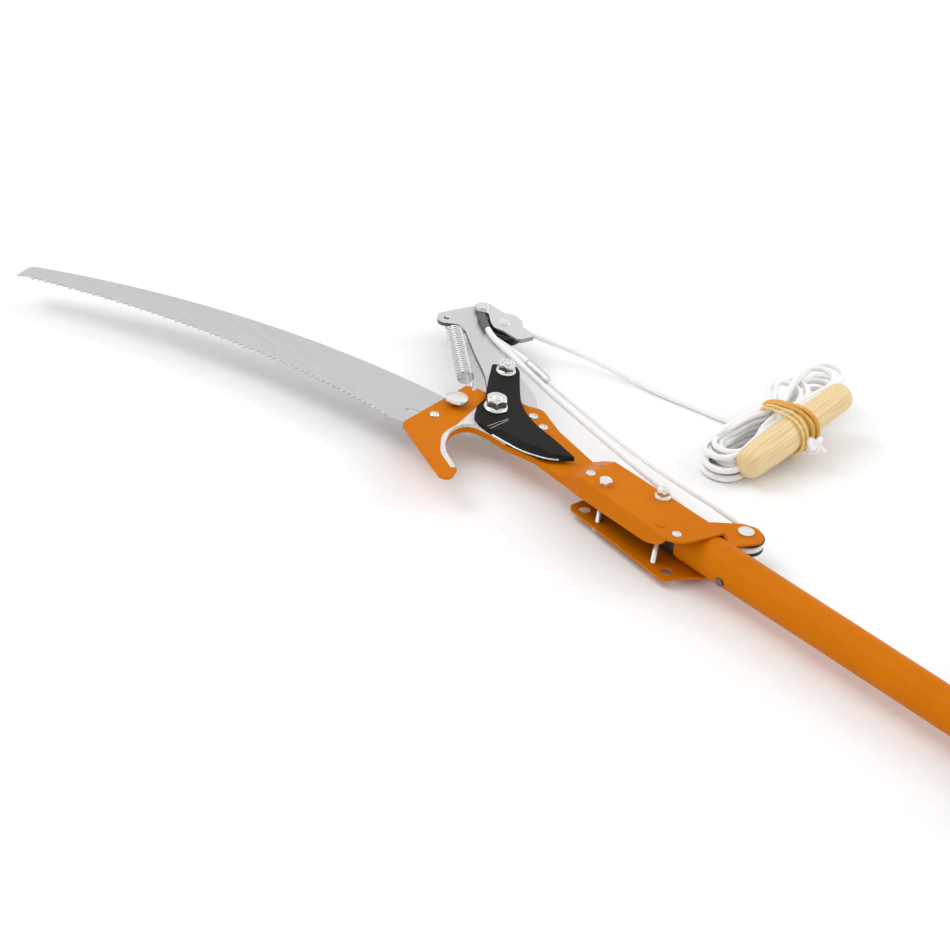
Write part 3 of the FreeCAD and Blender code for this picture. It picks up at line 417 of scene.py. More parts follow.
def cut_slot(blade, low, high):
    """Cuts the round-ended slot near the tang through the blade."""
    along = SLOT_END - SLOT_START
    heading = math.atan2(along.y, along.x)
    ring = []
    for centre, first in ((SLOT_START, 90), (SLOT_END, 270)):
        for i in range(9):
            angle = math.radians(first + 180 * i / 8) + heading
            ring.append(centre + Vector((math.cos(angle), math.sin(angle))) * SLOT_HALF)
    size = len(ring)
    sides = [(i, (i + 1) % size, size + (i + 1) % size, size + i) for i in range(size)]
    slot = add_mesh("slot", [(p.x, p.y, z) for z in (low - 0.002, high + 0.002) for p in ring],
                    [tuple(range(size))[::-1], tuple(range(size, 2 * size)), *sides], smooth=False)
    opening = facing_out(blade).modifiers.new("slot", "BOOLEAN")
    opening.object = facing_out(slot)
    opening.operation = "DIFFERENCE"
    opening.solver = "EXACT"
    bpy.context.view_layer.update()
    cut = bpy.data.meshes.new_from_object(blade.evaluated_get(bpy.context.evaluated_depsgraph_get()))
    blade.modifiers.clear()
    blade.data = cut
    bpy.data.objects.remove(slot)


def saw_blade():
    """The saw with every tooth ground to a point and set to one side or the other."""
    low, high = (corner.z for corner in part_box("saw_blade"))
    root_line = arc_through(SAW_ROOTS, 60)
    span = sum((b - a).length for a, b in zip(root_line, root_line[1:]))
    roots = arc_through(SAW_ROOTS, round(span / TOOTH_PITCH))
    plan = roots + [Vector(p) for p in SAW_TANG] + arc_through(SAW_BACK, 48)[::-1]
    plan += [Vector(p) for p in SAW_TIP]
    count = len(plan)
    verts = [(p.x, p.y, low) for p in plan] + [(p.x, p.y, high) for p in plan]
    teeth = len(roots) - 1
    faces = [tuple(range(count))[::-1], tuple(range(count, 2 * count))]
    faces += [(i, (i + 1) % count, count + (i + 1) % count, count + i) for i in range(teeth, count)]
    middle = (low + high) / 2
    for i in range(teeth):
        run = roots[i + 1] - roots[i]
        outward = Vector((run.y, -run.x)).normalized()
        tip = roots[i] + run * 0.72 + outward * TOOTH_DEPTH
        lean = TOOTH_SET if i % 2 else -TOOTH_SET
        under, over = len(verts), len(verts) + 1
        verts += [(tip.x, tip.y, middle + lean + side) for side in (-TOOTH_EDGE, TOOTH_EDGE)]
        faces += [(i + 1, i, under), (count + i, count + i + 1, over), (i, count + i, over, under),
                  (count + i + 1, i + 1, under, over)]
    blade = add_mesh("saw_blade_ground", verts, faces, smooth=False)
    cut_slot(blade, low, high)
    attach(blade, "head")
    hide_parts("saw_blade")
    return blade


# ---- pruner blade ------------------------
BLADE_PIVOT, HEEL_X = (-0.6845, 0.0330), -0.6640      # the bevel runs from the heel to the tip
BARE_EDGE, BEVEL_SWELL, BEVEL_LEAST = 0.0011, 0.0085, 0.0010
MARKS = [((-0.6684, 0.0078), (-0.6672, 0.0300)), ((-0.6648, 0.0070), (-0.6658, 0.0290))]
MARK_HALF, MARK_RISE = 0.00016, 0.00006


def top_outline(node):
    """The longest closed edge loop round the highest flat face of a CAD node, in order."""
    mesh = bmesh.new()
    mesh.from_mesh(NODES[node].data)
    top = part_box(node)[1].z
    bmesh.ops.remove_doubles(mesh, verts=mesh.verts, dist=1e-6)
    flat = {face for face in mesh.faces if all(abs(v.co.z - top) < 1e-5 for v in face.verts)}
    rim = {}
    for edge in mesh.edges:
        if sum(face in flat for face in edge.link_faces) == 1:
            for a, b in (edge.verts, tuple(edge.verts)[::-1]):
                rim.setdefault(a.index, []).append(b.index)
    places = {v.index: v.co.copy() for v in mesh.verts}
    mesh.free()
    loops = []
    while rim:
        start = next(iter(rim))
        loop, here = [start], rim[start][0]
        while here != start:
            loop.append(here)
            here = next(n for n in rim[here] if n != loop[-2])
        for index in loop:
            rim.pop(index)
        loops.append([places[index] for index in loop])
    return max(loops, key=lambda loop: sum((b - a).length for a, b in zip(loop, loop[1:])))


def turns_left(loop):
    return sum(a.x * b.y - b.x * a.y for a, b in zip(loop, loop[1:] + loop[:1])) > 0


def bypass_blade():
    """The coated cutting blade with its wide ground bevel and a bare cutting edge at the bevel's foot."""
    low, high = (corner.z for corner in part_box("cutting_blade"))
    rim = top_outline("cutting_blade")
    if not turns_left(rim):
        rim = rim[::-1]
    tip = max(rim, key=lambda p: p.x)
    pivot = Vector((*BLADE_PIVOT, high))
    count = len(rim)

    def widths(p):
        """(bare edge, whole bevel) in metres at a point of the rim."""
        if p.x < HEEL_X or (tip - pivot).cross(p - pivot).z > -0.00002:
            return 0.0, 0.0
        reach = (p.x - HEEL_X) / (tip.x - HEEL_X)
        swell = min(1.0, reach / 0.10) * min(1.0, (1.0 - reach) / 0.35)
        edge = BARE_EDGE * min(1.0, reach / 0.05) * min(1.0, (1.0 - reach) / 0.04 + 0.15)
        return edge, BEVEL_SWELL * swell + BEVEL_LEAST

    verts, faces, bare = [], [], []
    for level in ("bottom", "edge", "bare", "bevel"):
        for i, here in enumerate(rim):
            run = rim[(i + 1) % count] - rim[i - 1]
            inward = Vector((-run.y, run.x, 0)).normalized()
            edge_width, bevel_width = widths(here)
            drop = high - low if bevel_width else 0.0
            if level == "bottom":
                verts.append(Vector((here.x, here.y, low)))
            elif level == "edge":
                verts.append(Vector((here.x, here.y, high - drop + (0.0004 if drop else 0.0))))
            elif level == "bare":
                verts.append(here + inward * edge_width - Vector((0, 0, drop * 0.72)))
            else:
                verts.append(here + inward * bevel_width)
    for band in range(3):
        for i in range(count):
            j = (i + 1) % count
            faces.append((band * count + i, band * count + j, (band + 1) * count + j, (band + 1) * count + i))
            bare.append(band == 1 and widths(rim[i])[0] > 0 and widths(rim[j])[0] > 0)
    faces.append(tuple(range(count))[::-1])
    faces.append(tuple(range(3 * count, 4 * count)))
    bare += [False, False]
    blade = add_mesh("bypass_blade_ground", verts, faces, smooth=False)
    flags = blade.data.attributes.new("bare_steel", "FLOAT", "FACE")
    flags.data.foreach_set("value", [float(flag) for flag in bare])
    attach(blade, "cutting_arm")
    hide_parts("cutting_blade")
    return blade


def blade_marks():
    """Two fine bare lines ground across the blade where the bevel starts."""
    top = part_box("cutting_blade")[1].z
    rise = Vector((0, 0, MARK_RISE))
    verts, faces = [], []
    for ends in MARKS:
        start, end = (Vector((*place, top)) for place in ends)
        side = Vector((-(end - start).y, (end - start).x, 0)).normalized() * MARK_HALF
        base = len(verts)
        for lift in (rise, -rise):
            verts += [start - side + lift, end - side + lift, end + side + lift, start + side + lift]
        rings = ((0, 1, 2, 3), (7, 6, 5, 4), (0, 4, 5, 1), (1, 5, 6, 2), (2, 6, 7, 3), (3, 7, 4, 0))
        faces += [tuple(base + i for i in ring) for ring in rings]
    marks = add_mesh("blade_marks", verts, faces, smooth=False)
    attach(marks, "cutting_arm")
    return marks


# ---- return spring ------------------------
SPRING_EYE = [Vector((-0.8155, 0.109, 0.0259)), Vector((-0.8155, 0.109, 0.0203)),
              Vector((-0.809, 0.1033, 0.0203))]
SPRING_FOOT = Vector((-0.7189, 0.0416, 0.0284))
COIL_TOP, COIL_FOOT = Vector((-0.7966, 0.0998, 0.024)), Vector((-0.7381, 0.0537, 0.0262))
COIL_R, WIRE_R, COIL_PITCH, COIL_STEPS = 0.0061, 0.00095, 0.0036, 24


def return_spring():
    """Extension spring: a helix with a straight leg to the lever's eye and one to the seat's notch."""
    axis = COIL_FOOT - COIL_TOP
    length = axis.length
    axis = axis.normalized()
    side = axis.cross(UP).normalized()
    up = side.cross(axis)
    turns = round(length / COIL_PITCH) + 0.5
    steps = round(turns * COIL_STEPS)
    eye, below, out = SPRING_EYE
    path = [eye + Vector((0.0016, 0.0014, 0)), eye, below.lerp(eye, 0.1), below, out]
    for i in range(steps + 1):
        angle = 2 * math.pi * turns * i / steps
        outward = side * math.cos(angle) + up * math.sin(angle)
        path.append(COIL_TOP + axis * (length * i / steps) + outward * COIL_R)
    path += [SPRING_FOOT.lerp(COIL_FOOT, 0.08), SPRING_FOOT, SPRING_FOOT + Vector((0.0006, -0.001, -0.0016))]
    spring = tube_mesh("return_spring_coil", path, WIRE_R, 8)
    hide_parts("return_spring")
    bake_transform(spring)
    return spring


# ---- rubber band ------------------------
BAND_AT = 0.560
# (across the handle, height)
BAND_SECTION = [(-0.0370, 0.0016), (-0.0398, 0.0140), (-0.0390, 0.0265), (-0.0300, 0.0352), (-0.0140, 0.0405),
                (0.0000, 0.0442), (0.0122, 0.0402), (0.0166, 0.0285), (0.0140, 0.0165), (0.0040, 0.0085),
                (-0.0120, 0.0030), (-0.0260, 0.0014)]
# (shift along the handle over it, shift under it, radius), the first two of paler stretched rubber
BAND_STRANDS = [(-0.0180, -0.0050, 0.00110), (-0.0130, -0.0022, 0.00115), (-0.0045, -0.0010, 0.00175),
                (0.0000, 0.0030, 0.00210)]


def rubber_band():
    """One band wound four times round handle and hank, the strands fanned over the handle."""
    axis = TOGGLE_FAR - TOGGLE_NEAR
    flat = Vector((axis.x, axis.y, 0)).normalized()
    across = Vector((flat.y, -flat.x, 0))
    centre = TOGGLE_NEAR + axis * BAND_AT
    strands = []
    for k, (over, under, radius) in enumerate(BAND_STRANDS):
        route = []
        for reach, height in BAND_SECTION:
            share = max(0.0, min(1.0, (reach + 0.040) / 0.045))
            slide = under + (over - under) * share + 0.0010 * math.sin(60 * reach + 2 * k)
            point = centre + across * (reach * (1.0 + 0.012 * k)) + flat * slide
            route.append(Vector((point.x, point.y, height + (0.16 * slide if height > 0.02 else 0.0))))
        strand = tube_mesh(f"band_{k}", smooth_path(route, 8, closed=True), radius, 10, closed=True)
        for vertex in strand.data.vertices:
            vertex.co.z = max(vertex.co.z, 0.0002)
        paint(strand, PALE_BAND if k < 2 else BAND)
        strands.append(strand)
    with bpy.context.temp_override(active_object=strands[0], selected_editable_objects=strands):
        bpy.ops.object.join()
    band = strands[0]
    band.name = "rubber_band_wound"
    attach(band, "head")
    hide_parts("rubber_band")
    return band


# ---- fasteners ------------------------


def lathe(name, at, rings, around=96):
    """Upright body of rings (height, radius, flats, turn): flats over 0 trims the ring to a hexagon."""
    verts, faces = [], []
    for height, radius, flats, turn in rings:
        for k in range(around):
            angle = 2 * math.pi * k / around
            reach = radius
            if flats:
                off = (angle - turn) % (math.pi / 3) - math.pi / 6
                reach = min(radius, flats / 2 / math.cos(off))
            verts.append((at[0] + math.cos(angle) * reach, at[1] + math.sin(angle) * reach, height))
    for i in range(len(rings) - 1):
        for k in range(around):
            m = (k + 1) % around
            faces.append((i * around + k, i * around + m, (i + 1) * around + m, (i + 1) * around + k))
    faces.append(tuple(range(around))[::-1])
    faces.append(tuple((len(rings) - 1) * around + k for k in range(around)))
    piece = add_mesh(name, verts, faces)
    piece.data.set_sharp_from_angle(angle=math.radians(32))
    return piece


def flanged_nut(name, at, low, height, flats, flange, thread, bolt_top, turn):
    """Hex flange nut with the rolled rim, a chamfered crown, and the domed bolt end standing out of it."""
    corner = flats / math.sqrt(3)
    top = low + height
    rings = [(low, flange * 0.97, 0, 0), (low + 0.0005, flange, 0, 0), (low + 0.0011, flange * 0.985, 0, 0),
             (low + 0.0019, flange * 0.90, 0, 0), (low + 0.0024, corner * 1.02, 0, 0),
             (low + 0.0027, corner * 1.01, flats, turn), (top - 0.0014, corner * 1.01, flats, turn),
             (top - 0.0006, corner * 0.955, flats, turn), (top, corner * 0.875, flats * 0.985, turn),
             (top, thread + 0.0011, 0, 0), (top - 0.0006, thread + 0.0003, 0, 0)]
    for k in range(3):
        ridge = thread * (0.93 if k % 2 else 1.0)
        rings.append((top - 0.0004 + (bolt_top - top) * (k + 0.3) / 3.4, ridge, 0, 0))
    rings += [(bolt_top - 0.0007, thread, 0, 0), (bolt_top - 0.0002, thread * 0.84, 0, 0),
              (bolt_top, thread * 0.5, 0, 0)]
    return lathe(name, at, rings)


def hex_head(name, at, low, height, flats, turn):
    """Plain hex head with a chamfered crown and a shallow dished middle."""
    corner = flats / math.sqrt(3)
    top = low + height
    return lathe(name, at, [(low, corner, flats, turn), (top - 0.0012, corner * 1.01, flats, turn),
                            (top - 0.0005, corner * 0.95, flats, turn),
                            (top, corner * 0.86, flats * 0.985, turn), (top, corner * 0.62, 0, 0),
                            (top - 0.0003, corner * 0.54, 0, 0)])


def stud(name, at, rings):
    """Round headed part from (height, radius) pairs."""
    return lathe(name, at, [(height, radius, 0, 0) for height, radius in rings], 48)


def joined(name, pieces, body, slot, *nodes):
    """One mesh of several, riding on a body in place of CAD nodes."""
    if len(pieces) > 1:
        with bpy.context.temp_override(active_object=pieces[0], selected_editable_objects=pieces):
            bpy.ops.object.join()
    pieces[0].name = name
    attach(pieces[0], body)
    if nodes:
        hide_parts(*nodes)
    return facing_out(pieces[0])


CLAMP_BOLTS = [(-0.5485, 0.0150), (-0.5115, 0.0405), (-0.4855, 0.0105)]
CLAMP_TOP, CLAMP_UNDER = 0.0430, 0.0070
SHEET_RIVETS = [(-0.6655, 0.058, 0.027), (-0.6495, 0.053, 0.027), (-0.5655, 0.0165, 0.043),
                (-0.469, 0.011, 0.043)]
THREAD_STEP = 0.0004
# (nut, its bolt, body, height, across flats, flange radius, thread radius, turn)
BIG_NUTS = [("arm_nut", "arm_bolt", "cutting_arm", 0.0080, 0.0130, 0.0082, 0.0035, 0.25),
            ("pivot_nut", "pivot_bolt", "head", 0.0094, 0.0155, 0.0098, 0.0044, 0.30)]


def middle_of(node):
    low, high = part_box(node)
    return ((low.x + high.x) / 2, (low.y + high.y) / 2)


def clamp_shank(index, low, high):
    """Threaded shank through both clamp plates; its ridges show between them."""
    rings = [(low, 0.0018)]
    count = round((high - low) / THREAD_STEP)
    for i in range(1, count):
        rings.append((low + (high - low) * i / count, 0.0025 if i % 2 else 0.00215))
    return stud("shank", CLAMP_BOLTS[index], rings + [(high, 0.0020)])


def hardware():
    """The nuts, bolts and rivets that show, each with its own form."""
    made = []
    for node, bolt, body, height, flats, flange, thread, turn in BIG_NUTS:
        nut = flanged_nut("nut", middle_of(node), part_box(node)[0].z, height, flats, flange, thread,
                          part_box(bolt)[1].z + 0.0002, turn)
        made.append(joined(node + "_formed", [nut], body, "zinc", node))
    low, high = (corner.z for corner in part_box("saw_bolt"))
    made.append(joined("saw_bolt_formed", [stud("bolt", middle_of("saw_bolt"), [
        (low, 0.0026), (low + 0.0006, 0.0030), (high - 0.0050, 0.0030), (high - 0.0048, 0.0054),
        (high - 0.0031, 0.0056), (high - 0.0030, 0.0088), (high - 0.0026, 0.0092), (high - 0.0012, 0.0092),
        (high - 0.0007, 0.0089), (high - 0.0003, 0.0080), (high - 0.0001, 0.0060), (high, 0.0030)])],
        "head", "zinc", "saw_bolt"))
    made.append(joined("clamp_bolt_set", [
        hex_head("head", CLAMP_BOLTS[0], CLAMP_TOP, 0.0044, 0.0098, 0.35),
        clamp_shank(0, CLAMP_UNDER - 0.0056, CLAMP_TOP), clamp_shank(1, CLAMP_UNDER, CLAMP_TOP + 0.0005),
        clamp_shank(2, CLAMP_UNDER - 0.0056, CLAMP_TOP - 0.0006),
        hex_head("head", CLAMP_BOLTS[1], CLAMP_UNDER - 0.0040, 0.0040, 0.0090, 0.14)],
        "head", "zinc", "clamp_bolts"))
    paint(joined("clamp_bolt_painted", [stud("head", CLAMP_BOLTS[2], [
        (CLAMP_TOP - 0.0006, 0.0024), (CLAMP_TOP, 0.0040), (CLAMP_TOP + 0.0004, 0.0040),
        (CLAMP_TOP + 0.0007, 0.0034)])], "head", "orange_paint"), ORANGE)
    made.append(joined("clamp_nut_set", [
        flanged_nut("nut", CLAMP_BOLTS[1], CLAMP_TOP, 0.0064, 0.0100, 0.0068, 0.0025,
                    CLAMP_TOP + 0.0080, 0.35),
        *(hex_head("nut", CLAMP_BOLTS[i], CLAMP_UNDER - 0.0046, 0.0046, 0.0084, 0.35) for i in (0, 2))],
        "head", "zinc", "clamp_nuts"))
    made.append(joined("sheet_rivet_set", [stud("rivet", (x, y), [
        (top - 0.0018, 0.0022), (top, 0.0022), (top + 0.0001, 0.0037), (top + 0.0004, 0.0039),
        (top + 0.0009, 0.0036), (top + 0.0011, 0.0031), (top + 0.0011, 0.0018), (top + 0.0006, 0.0015),
        (top + 0.0006, 0.0004)]) for x, y, top in SHEET_RIVETS], "head", "zinc", "sheet_rivets"))
    low, top = (corner.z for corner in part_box("seat_rivet"))
    made.append(joined("seat_rivet_formed", [stud("rivet", middle_of("seat_rivet"), [
        (low, 0.0036), (low + 0.0012, 0.0036), (low + 0.0013, 0.0025), (top - 0.0012, 0.0025),
        (top - 0.0011, 0.0038), (top - 0.0007, 0.0039), (top - 0.0002, 0.0034), (top, 0.0028), (top, 0.0017),
        (top - 0.0005, 0.0014), (top - 0.0005, 0.0004)])], "head", "zinc", "seat_rivet"))
    return made


# ---- studio ------------------------


# (height as the sky ramp counts it, grey), the ramp's own two ends first
ROOM_BANDS = [(0, 0.92), (1, 1.06), (0.20, 0.95), (0.30, 0.62), (0.40, 0.66), (0.50, 1.02),
              (0.74, 1.08), (0.82, 0.78), (0.90, 0.82)]
LAMPS = [("key", (-2.6, -1.4, 3.2), 2.2, 42.0), ("rim", (0.8, 3.0, 2.2), 1.4, 22.0)]
LAMP_AIM = (-0.5, 0.05, 0)


def studio():
    """Plain pale floor, a large soft key, a rim light, and a bright banded room for the metal to reflect."""
    size = 14.0
    floor = add_mesh("floor", [(-size, -size, 0), (size, -size, 0), (size, size, 0), (-size, size, 0)],
                     [(0, 1, 2, 3)], smooth=False)
    floor.data.materials.append(FLOOR_FINISH)
    bpy.context.scene.view_settings.view_transform = "Standard"
    world = bpy.data.worlds.new("room")
    bpy.context.scene.world = world
    world.use_nodes = True
    tree = world.node_tree
    room = tree.nodes["Background"]
    way = tree.nodes.new("ShaderNodeTexCoord")
    split = tree.nodes.new("ShaderNodeSeparateXYZ")
    tree.links.new(way.outputs["Generated"], split.inputs["Vector"])
    bands = tree.nodes.new("ShaderNodeValToRGB")
    stops = bands.color_ramp.elements
    for place, grey in ROOM_BANDS:
        stop = stops[place] if place in (0, 1) else stops.new(place)
        stop.color = (grey, grey, grey, 1)
    tree.links.new(split.outputs["Z"], bands.inputs["Fac"])
    tree.links.new(bands.outputs["Color"], room.inputs["Color"])
    room.inputs["Strength"].default_value = 0.98
    for name, place, side, power in LAMPS:
        light = bpy.data.lights.new(name, "AREA")
        light.size = side
        light.energy = power
        lamp = add_object(name, light)
        lamp.location = place
        lamp.rotation_euler = (Vector(LAMP_AIM) - Vector(place)).to_track_quat("-Z", "Y").to_euler()


# ---- materials ------------------------


class Finish:
    """A Principled material with short calls for the nodes that feed it."""

    def __init__(self, name, **shader):
        self.material = bpy.data.materials.new(name)
        self.material.use_nodes = True
        self.tree = self.material.node_tree
        self.shader = self.tree.nodes["Principled BSDF"]
        for socket, value in shader.items():
            self.shader.inputs[socket.replace("_", " ")].default_value = value
        self.place = self.tree.nodes.new("ShaderNodeTexCoord")

    def node(self, kind, settings=None, **inputs):
        node = self.tree.nodes.new("ShaderNode" + kind)
        for key, value in (settings or {}).items():
            setattr(node, key, value)
        for key, value in inputs.items():
            socket = node.inputs[int(key[1:])] if key[0] == "i" and key[1:].isdigit() else node.inputs[key]
            if isinstance(value, bpy.types.NodeSocket):
                self.tree.links.new(value, socket)
            else:
                socket.default_value = value
        return node

    def stretched(self, scale, coordinates="Object"):
        mapping = self.node("Mapping", Vector=self.place.outputs[coordinates], Scale=scale)
        return mapping.outputs["Vector"]

    def noise(self, scale, detail, roughness=0.55, stretch=(1, 1, 1), coordinates="Object"):
        node = self.node("TexNoise", Vector=self.stretched(stretch, coordinates), Scale=scale, Detail=detail,
                         Roughness=roughness)
        return node.outputs["Fac"]

    def ramp(self, value, stops):
        node = self.node("ValToRGB", i0=value)
        elements = node.color_ramp.elements
        while len(elements) < len(stops):
            elements.new(0.5)
        for element, (place, colour) in zip(elements, stops):
            element.position = place
            element.color = (*colour, 1)
        return node.outputs["Color"]

    def grey(self, value, low_in, high_in, low_out, high_out):
        node = self.node("MapRange", {"clamp": True}, Value=value)
        for side, low, high in (("From", low_in, high_in), ("To", low_out, high_out)):
            node.inputs[side + " Min"].default_value = low
            node.inputs[side + " Max"].default_value = high
        return node.outputs["Result"]

    def math(self, operation, a, b=0.0):
        return self.node("Math", {"operation": operation}, i0=a, i1=b).outputs["Value"]

    def mix(self, factor, a, b):
        a, b = (c if isinstance(c, bpy.types.NodeSocket) else (*c, 1) for c in (a, b))
        return self.node("Mix", {"data_type": "RGBA"}, i0=factor, i6=a, i7=b).outputs[2]

    def set(self, socket, value):
        self.tree.links.new(value, self.shader.inputs[socket])

    def bump(self, height, strength, distance):
        node = self.node("Bump", Height=height, Strength=strength, Distance=distance)
        self.set("Normal", node.outputs["Normal"])


def orange_paint(name):
    """Powder coat: fine orange peel, faint dust and thin lighter rub lines."""
    finish = Finish(name, Specular_IOR_Level=0.05)
    cloud = finish.noise(14, 5)
    fine = finish.noise(420, 3)
    colour = finish.ramp(cloud, [(0.30, (0.555, 0.150, 0.0004)), (0.55, (0.595, 0.163, 0.0006)),
                                 (0.75, (0.620, 0.174, 0.0012))])
    rubs = finish.grey(finish.noise(60, 6, 0.7, (1.0, 7.0, 7.0)), 0.68, 0.80, 0.0, 0.28)
    colour = finish.mix(rubs, colour, (0.66, 0.23, 0.015))
    finish.set("Base Color", colour)
    finish.set("Roughness", finish.grey(fine, 0.3, 0.7, 0.32, 0.44))
    finish.bump(fine, 0.12, 0.0002)
    return finish.material


def brushed(name, colour, rough, stretch, scale, contrast=0.10, edge=None):
    """Ground or drawn steel with fine lines along one way; the edge colour, when given, is painted shade on
    the upright side faces.
    """
    finish = Finish(name, Metallic=0.9)
    lines = finish.noise(scale, 6, 0.65, stretch)
    cloud = finish.noise(9, 4)
    low = tuple(c * (1 - contrast) for c in colour)
    high = tuple(min(1.0, c * (1 + contrast)) for c in colour)
    tone = finish.ramp(lines, [(0.25, low), (0.75, high)])
    tone = finish.mix(finish.grey(cloud, 0.35, 0.65, 0.0, 0.5), tone, colour)
    if edge:
        # painted shade: faces turned away from straight up blend towards the darker edge colour
        facing = finish.node("SeparateXYZ", Vector=finish.node("NewGeometry").outputs["Normal"]).outputs["Z"]
        tone = finish.mix(finish.grey(finish.math("ABSOLUTE", facing), 0.35, 0.75, 0.0, 1.0), edge, tone)
    finish.set("Base Color", tone)
    finish.set("Roughness", finish.grey(lines, 0.25, 0.75, rough - 0.07, rough + 0.09))
    finish.bump(lines, 0.15, 0.0001)
    return finish.material


def zinc(name):
    """Bright plated fastener: slight mottling and handling marks."""
    finish = Finish(name, Metallic=0.95)
    mottle = finish.noise(160, 4, 0.6)
    finish.set("Base Color", finish.ramp(mottle, [(0.3, (0.756, 0.756, 0.738)), (0.6, (0.84, 0.84, 0.82)),
                                                  (0.85, (0.88, 0.86, 0.78))]))
    finish.set("Roughness", finish.grey(mottle, 0.3, 0.7, 0.14, 0.26))
    finish.bump(finish.noise(900, 3), 0.03, 0.00005)
    return finish.material


def coated_blade(name):
    """Dark satin non-stick coat with light speckle, bare steel along the ground edge."""
    finish = Finish(name, Specular_IOR_Level=0.09)
    speckle = finish.noise(1300, 3, 0.6)
    cloud = finish.noise(28, 5)
    coat = finish.mix(finish.grey(cloud, 0.35, 0.7, 0.0, 0.6), (0.008, 0.0075, 0.0065), (0.017, 0.016, 0.013))
    coat = finish.mix(finish.grey(speckle, 0.62, 0.74, 0.0, 0.4), coat, (0.07, 0.07, 0.065))
    bare = finish.node("Attribute", {"attribute_name": "bare_steel"}).outputs["Fac"]
    grind = finish.noise(500, 4, 0.6, (1.0, 0.12, 1.0))
    steel = finish.ramp(grind, [(0.3, (0.45, 0.45, 0.45)), (0.7, (0.80, 0.80, 0.79))])
    finish.set("Base Color", finish.mix(bare, coat, steel))
    finish.set("Metallic", finish.math("MULTIPLY", bare, 0.9))
    finish.set("Roughness", finish.grey(speckle, 0.3, 0.7, 0.36, 0.50))
    finish.bump(speckle, 0.12, 0.0001)
    return finish.material


def blasted_steel(name):
    """Silver insert with the pale speckle of a blasted surface."""
    finish = Finish(name, Metallic=0.30)
    speckle = finish.noise(700, 4, 0.75)
    finish.set("Base Color", finish.ramp(speckle, [(0.34, (0.42, 0.42, 0.42)), (0.46, (0.70, 0.69, 0.68)),
                                                   (0.62, (0.86, 0.85, 0.84))]))
    finish.set("Roughness", finish.grey(speckle, 0.3, 0.7, 0.38, 0.56))
    finish.bump(speckle, 0.3, 0.0001)
    return finish.material


def plastic(name, dark, light, rough):
    """Moulded plastic: fine spark-eroded grain and faint flow clouds."""
    finish = Finish(name, Specular_IOR_Level=0.45)
    cloud = finish.noise(35, 4)
    fine = finish.noise(500, 2)
    finish.set("Base Color", finish.mix(finish.grey(cloud, 0.35, 0.65, 0.0, 1.0), dark, light))
    finish.set("Roughness", finish.grey(fine, 0.3, 0.7, rough - 0.06, rough + 0.08))
    finish.bump(fine, 0.2, 0.00015)
    return finish.material


def braided_rope(name):
    """White plaited cord: crossing strands from the UVs, yarn lines, and painted shade that greys the hollows
    between strands.
    """
    finish = Finish(name, Sheen_Weight=0.25, Sheen_Roughness=0.5)
    split = finish.node("SeparateXYZ", Vector=finish.place.outputs["UV"])
    along = finish.math("MULTIPLY", split.outputs["X"], 1 / BRAID_PITCH)
    around = finish.math("MULTIPLY", split.outputs["Y"], BRAID_STRANDS)
    waves = []
    for operation in ("ADD", "SUBTRACT"):
        turn = finish.math(operation, along, around)
        waves.append(finish.math("SINE", finish.math("MULTIPLY", turn, 2 * math.pi)))
    strands = finish.math("MULTIPLY", waves[0], waves[1])
    hollow = finish.grey(finish.math("ABSOLUTE", strands), 0.0, 0.45, 0.0, 1.0)
    yarn = finish.noise(1500, 3, 0.6, (1.0, 0.02, 1.0), "UV")
    soil = finish.noise(30, 4)
    # painted shade: the hollows between the strands take the greyer colour
    colour = finish.mix(hollow, (0.82, 0.82, 0.81), (0.97, 0.97, 0.96))
    colour = finish.mix(finish.grey(soil, 0.60, 0.85, 0.0, 0.25), colour, (0.86, 0.85, 0.82))
    finish.set("Base Color", colour)
    finish.set("Roughness", finish.grey(yarn, 0.3, 0.7, 0.70, 0.92))
    finish.bump(finish.math("ADD", hollow, finish.math("MULTIPLY", yarn, 0.5)), 0.5, 0.0003)
    return finish.material


def turned_wood(name):
    """Pale hardwood along the toggle: growth bands, pores and a clear lacquer."""
    finish = Finish(name, Coat_Weight=0.35, Coat_Roughness=0.22, Specular_IOR_Level=0.4)
    warped = finish.noise(26, 5, 0.6, (1.0, 1.0, 0.10), "UV")
    rings = finish.node("TexWave", {"wave_type": "BANDS", "bands_direction": "Y"},
                        Vector=finish.stretched((3.0, 3.0, 1.0), "UV"), Scale=2.4, Distortion=7.0, Detail=3.0)
    rings.inputs["Detail Scale"].default_value = 1.6
    bands = finish.grey(rings.outputs["Fac"], 0.2, 0.9, 0.0, 0.75)
    tone = finish.mix(bands, (0.80, 0.60, 0.30), (0.70, 0.48, 0.20))
    tone = finish.mix(finish.grey(warped, 0.4, 0.62, 0.0, 0.6), tone, (0.84, 0.67, 0.38))
    pores = finish.grey(finish.noise(240, 2, 0.5, (0.25, 5.0, 1.0), "UV"), 0.66, 0.72, 0.0, 0.7)
    finish.set("Base Color", finish.mix(pores, tone, (0.36, 0.21, 0.08)))
    finish.set("Roughness", finish.grey(warped, 0.3, 0.7, 0.34, 0.50))
    finish.bump(finish.math("SUBTRACT", 1.0, pores), 0.25, 0.0002)
    return finish.material


def rubber_finish(name, dark, light, rough):
    """Soft matt rubber with a fine grain."""
    finish = Finish(name, Specular_IOR_Level=0.4)
    grain = finish.noise(300, 5, 0.6)
    finish.set("Base Color", finish.mix(finish.grey(grain, 0.35, 0.65, 0.0, 1.0), dark, light))
    finish.set("Roughness", finish.grey(grain, 0.3, 0.7, rough - 0.08, rough + 0.10))
    finish.bump(grain, 0.25, 0.0002)
    return finish.material


def floor_finish():
    """Seamless pale paper."""
    finish = Finish("studio_paper")
    fibre = finish.noise(60, 3)
    finish.set("Base Color", finish.ramp(fibre, [(0.3, (0.90, 0.90, 0.90)), (0.7, (0.92, 0.92, 0.92))]))
    finish.set("Roughness", finish.grey(fibre, 0.3, 0.7, 0.8, 0.95))
    return finish.material


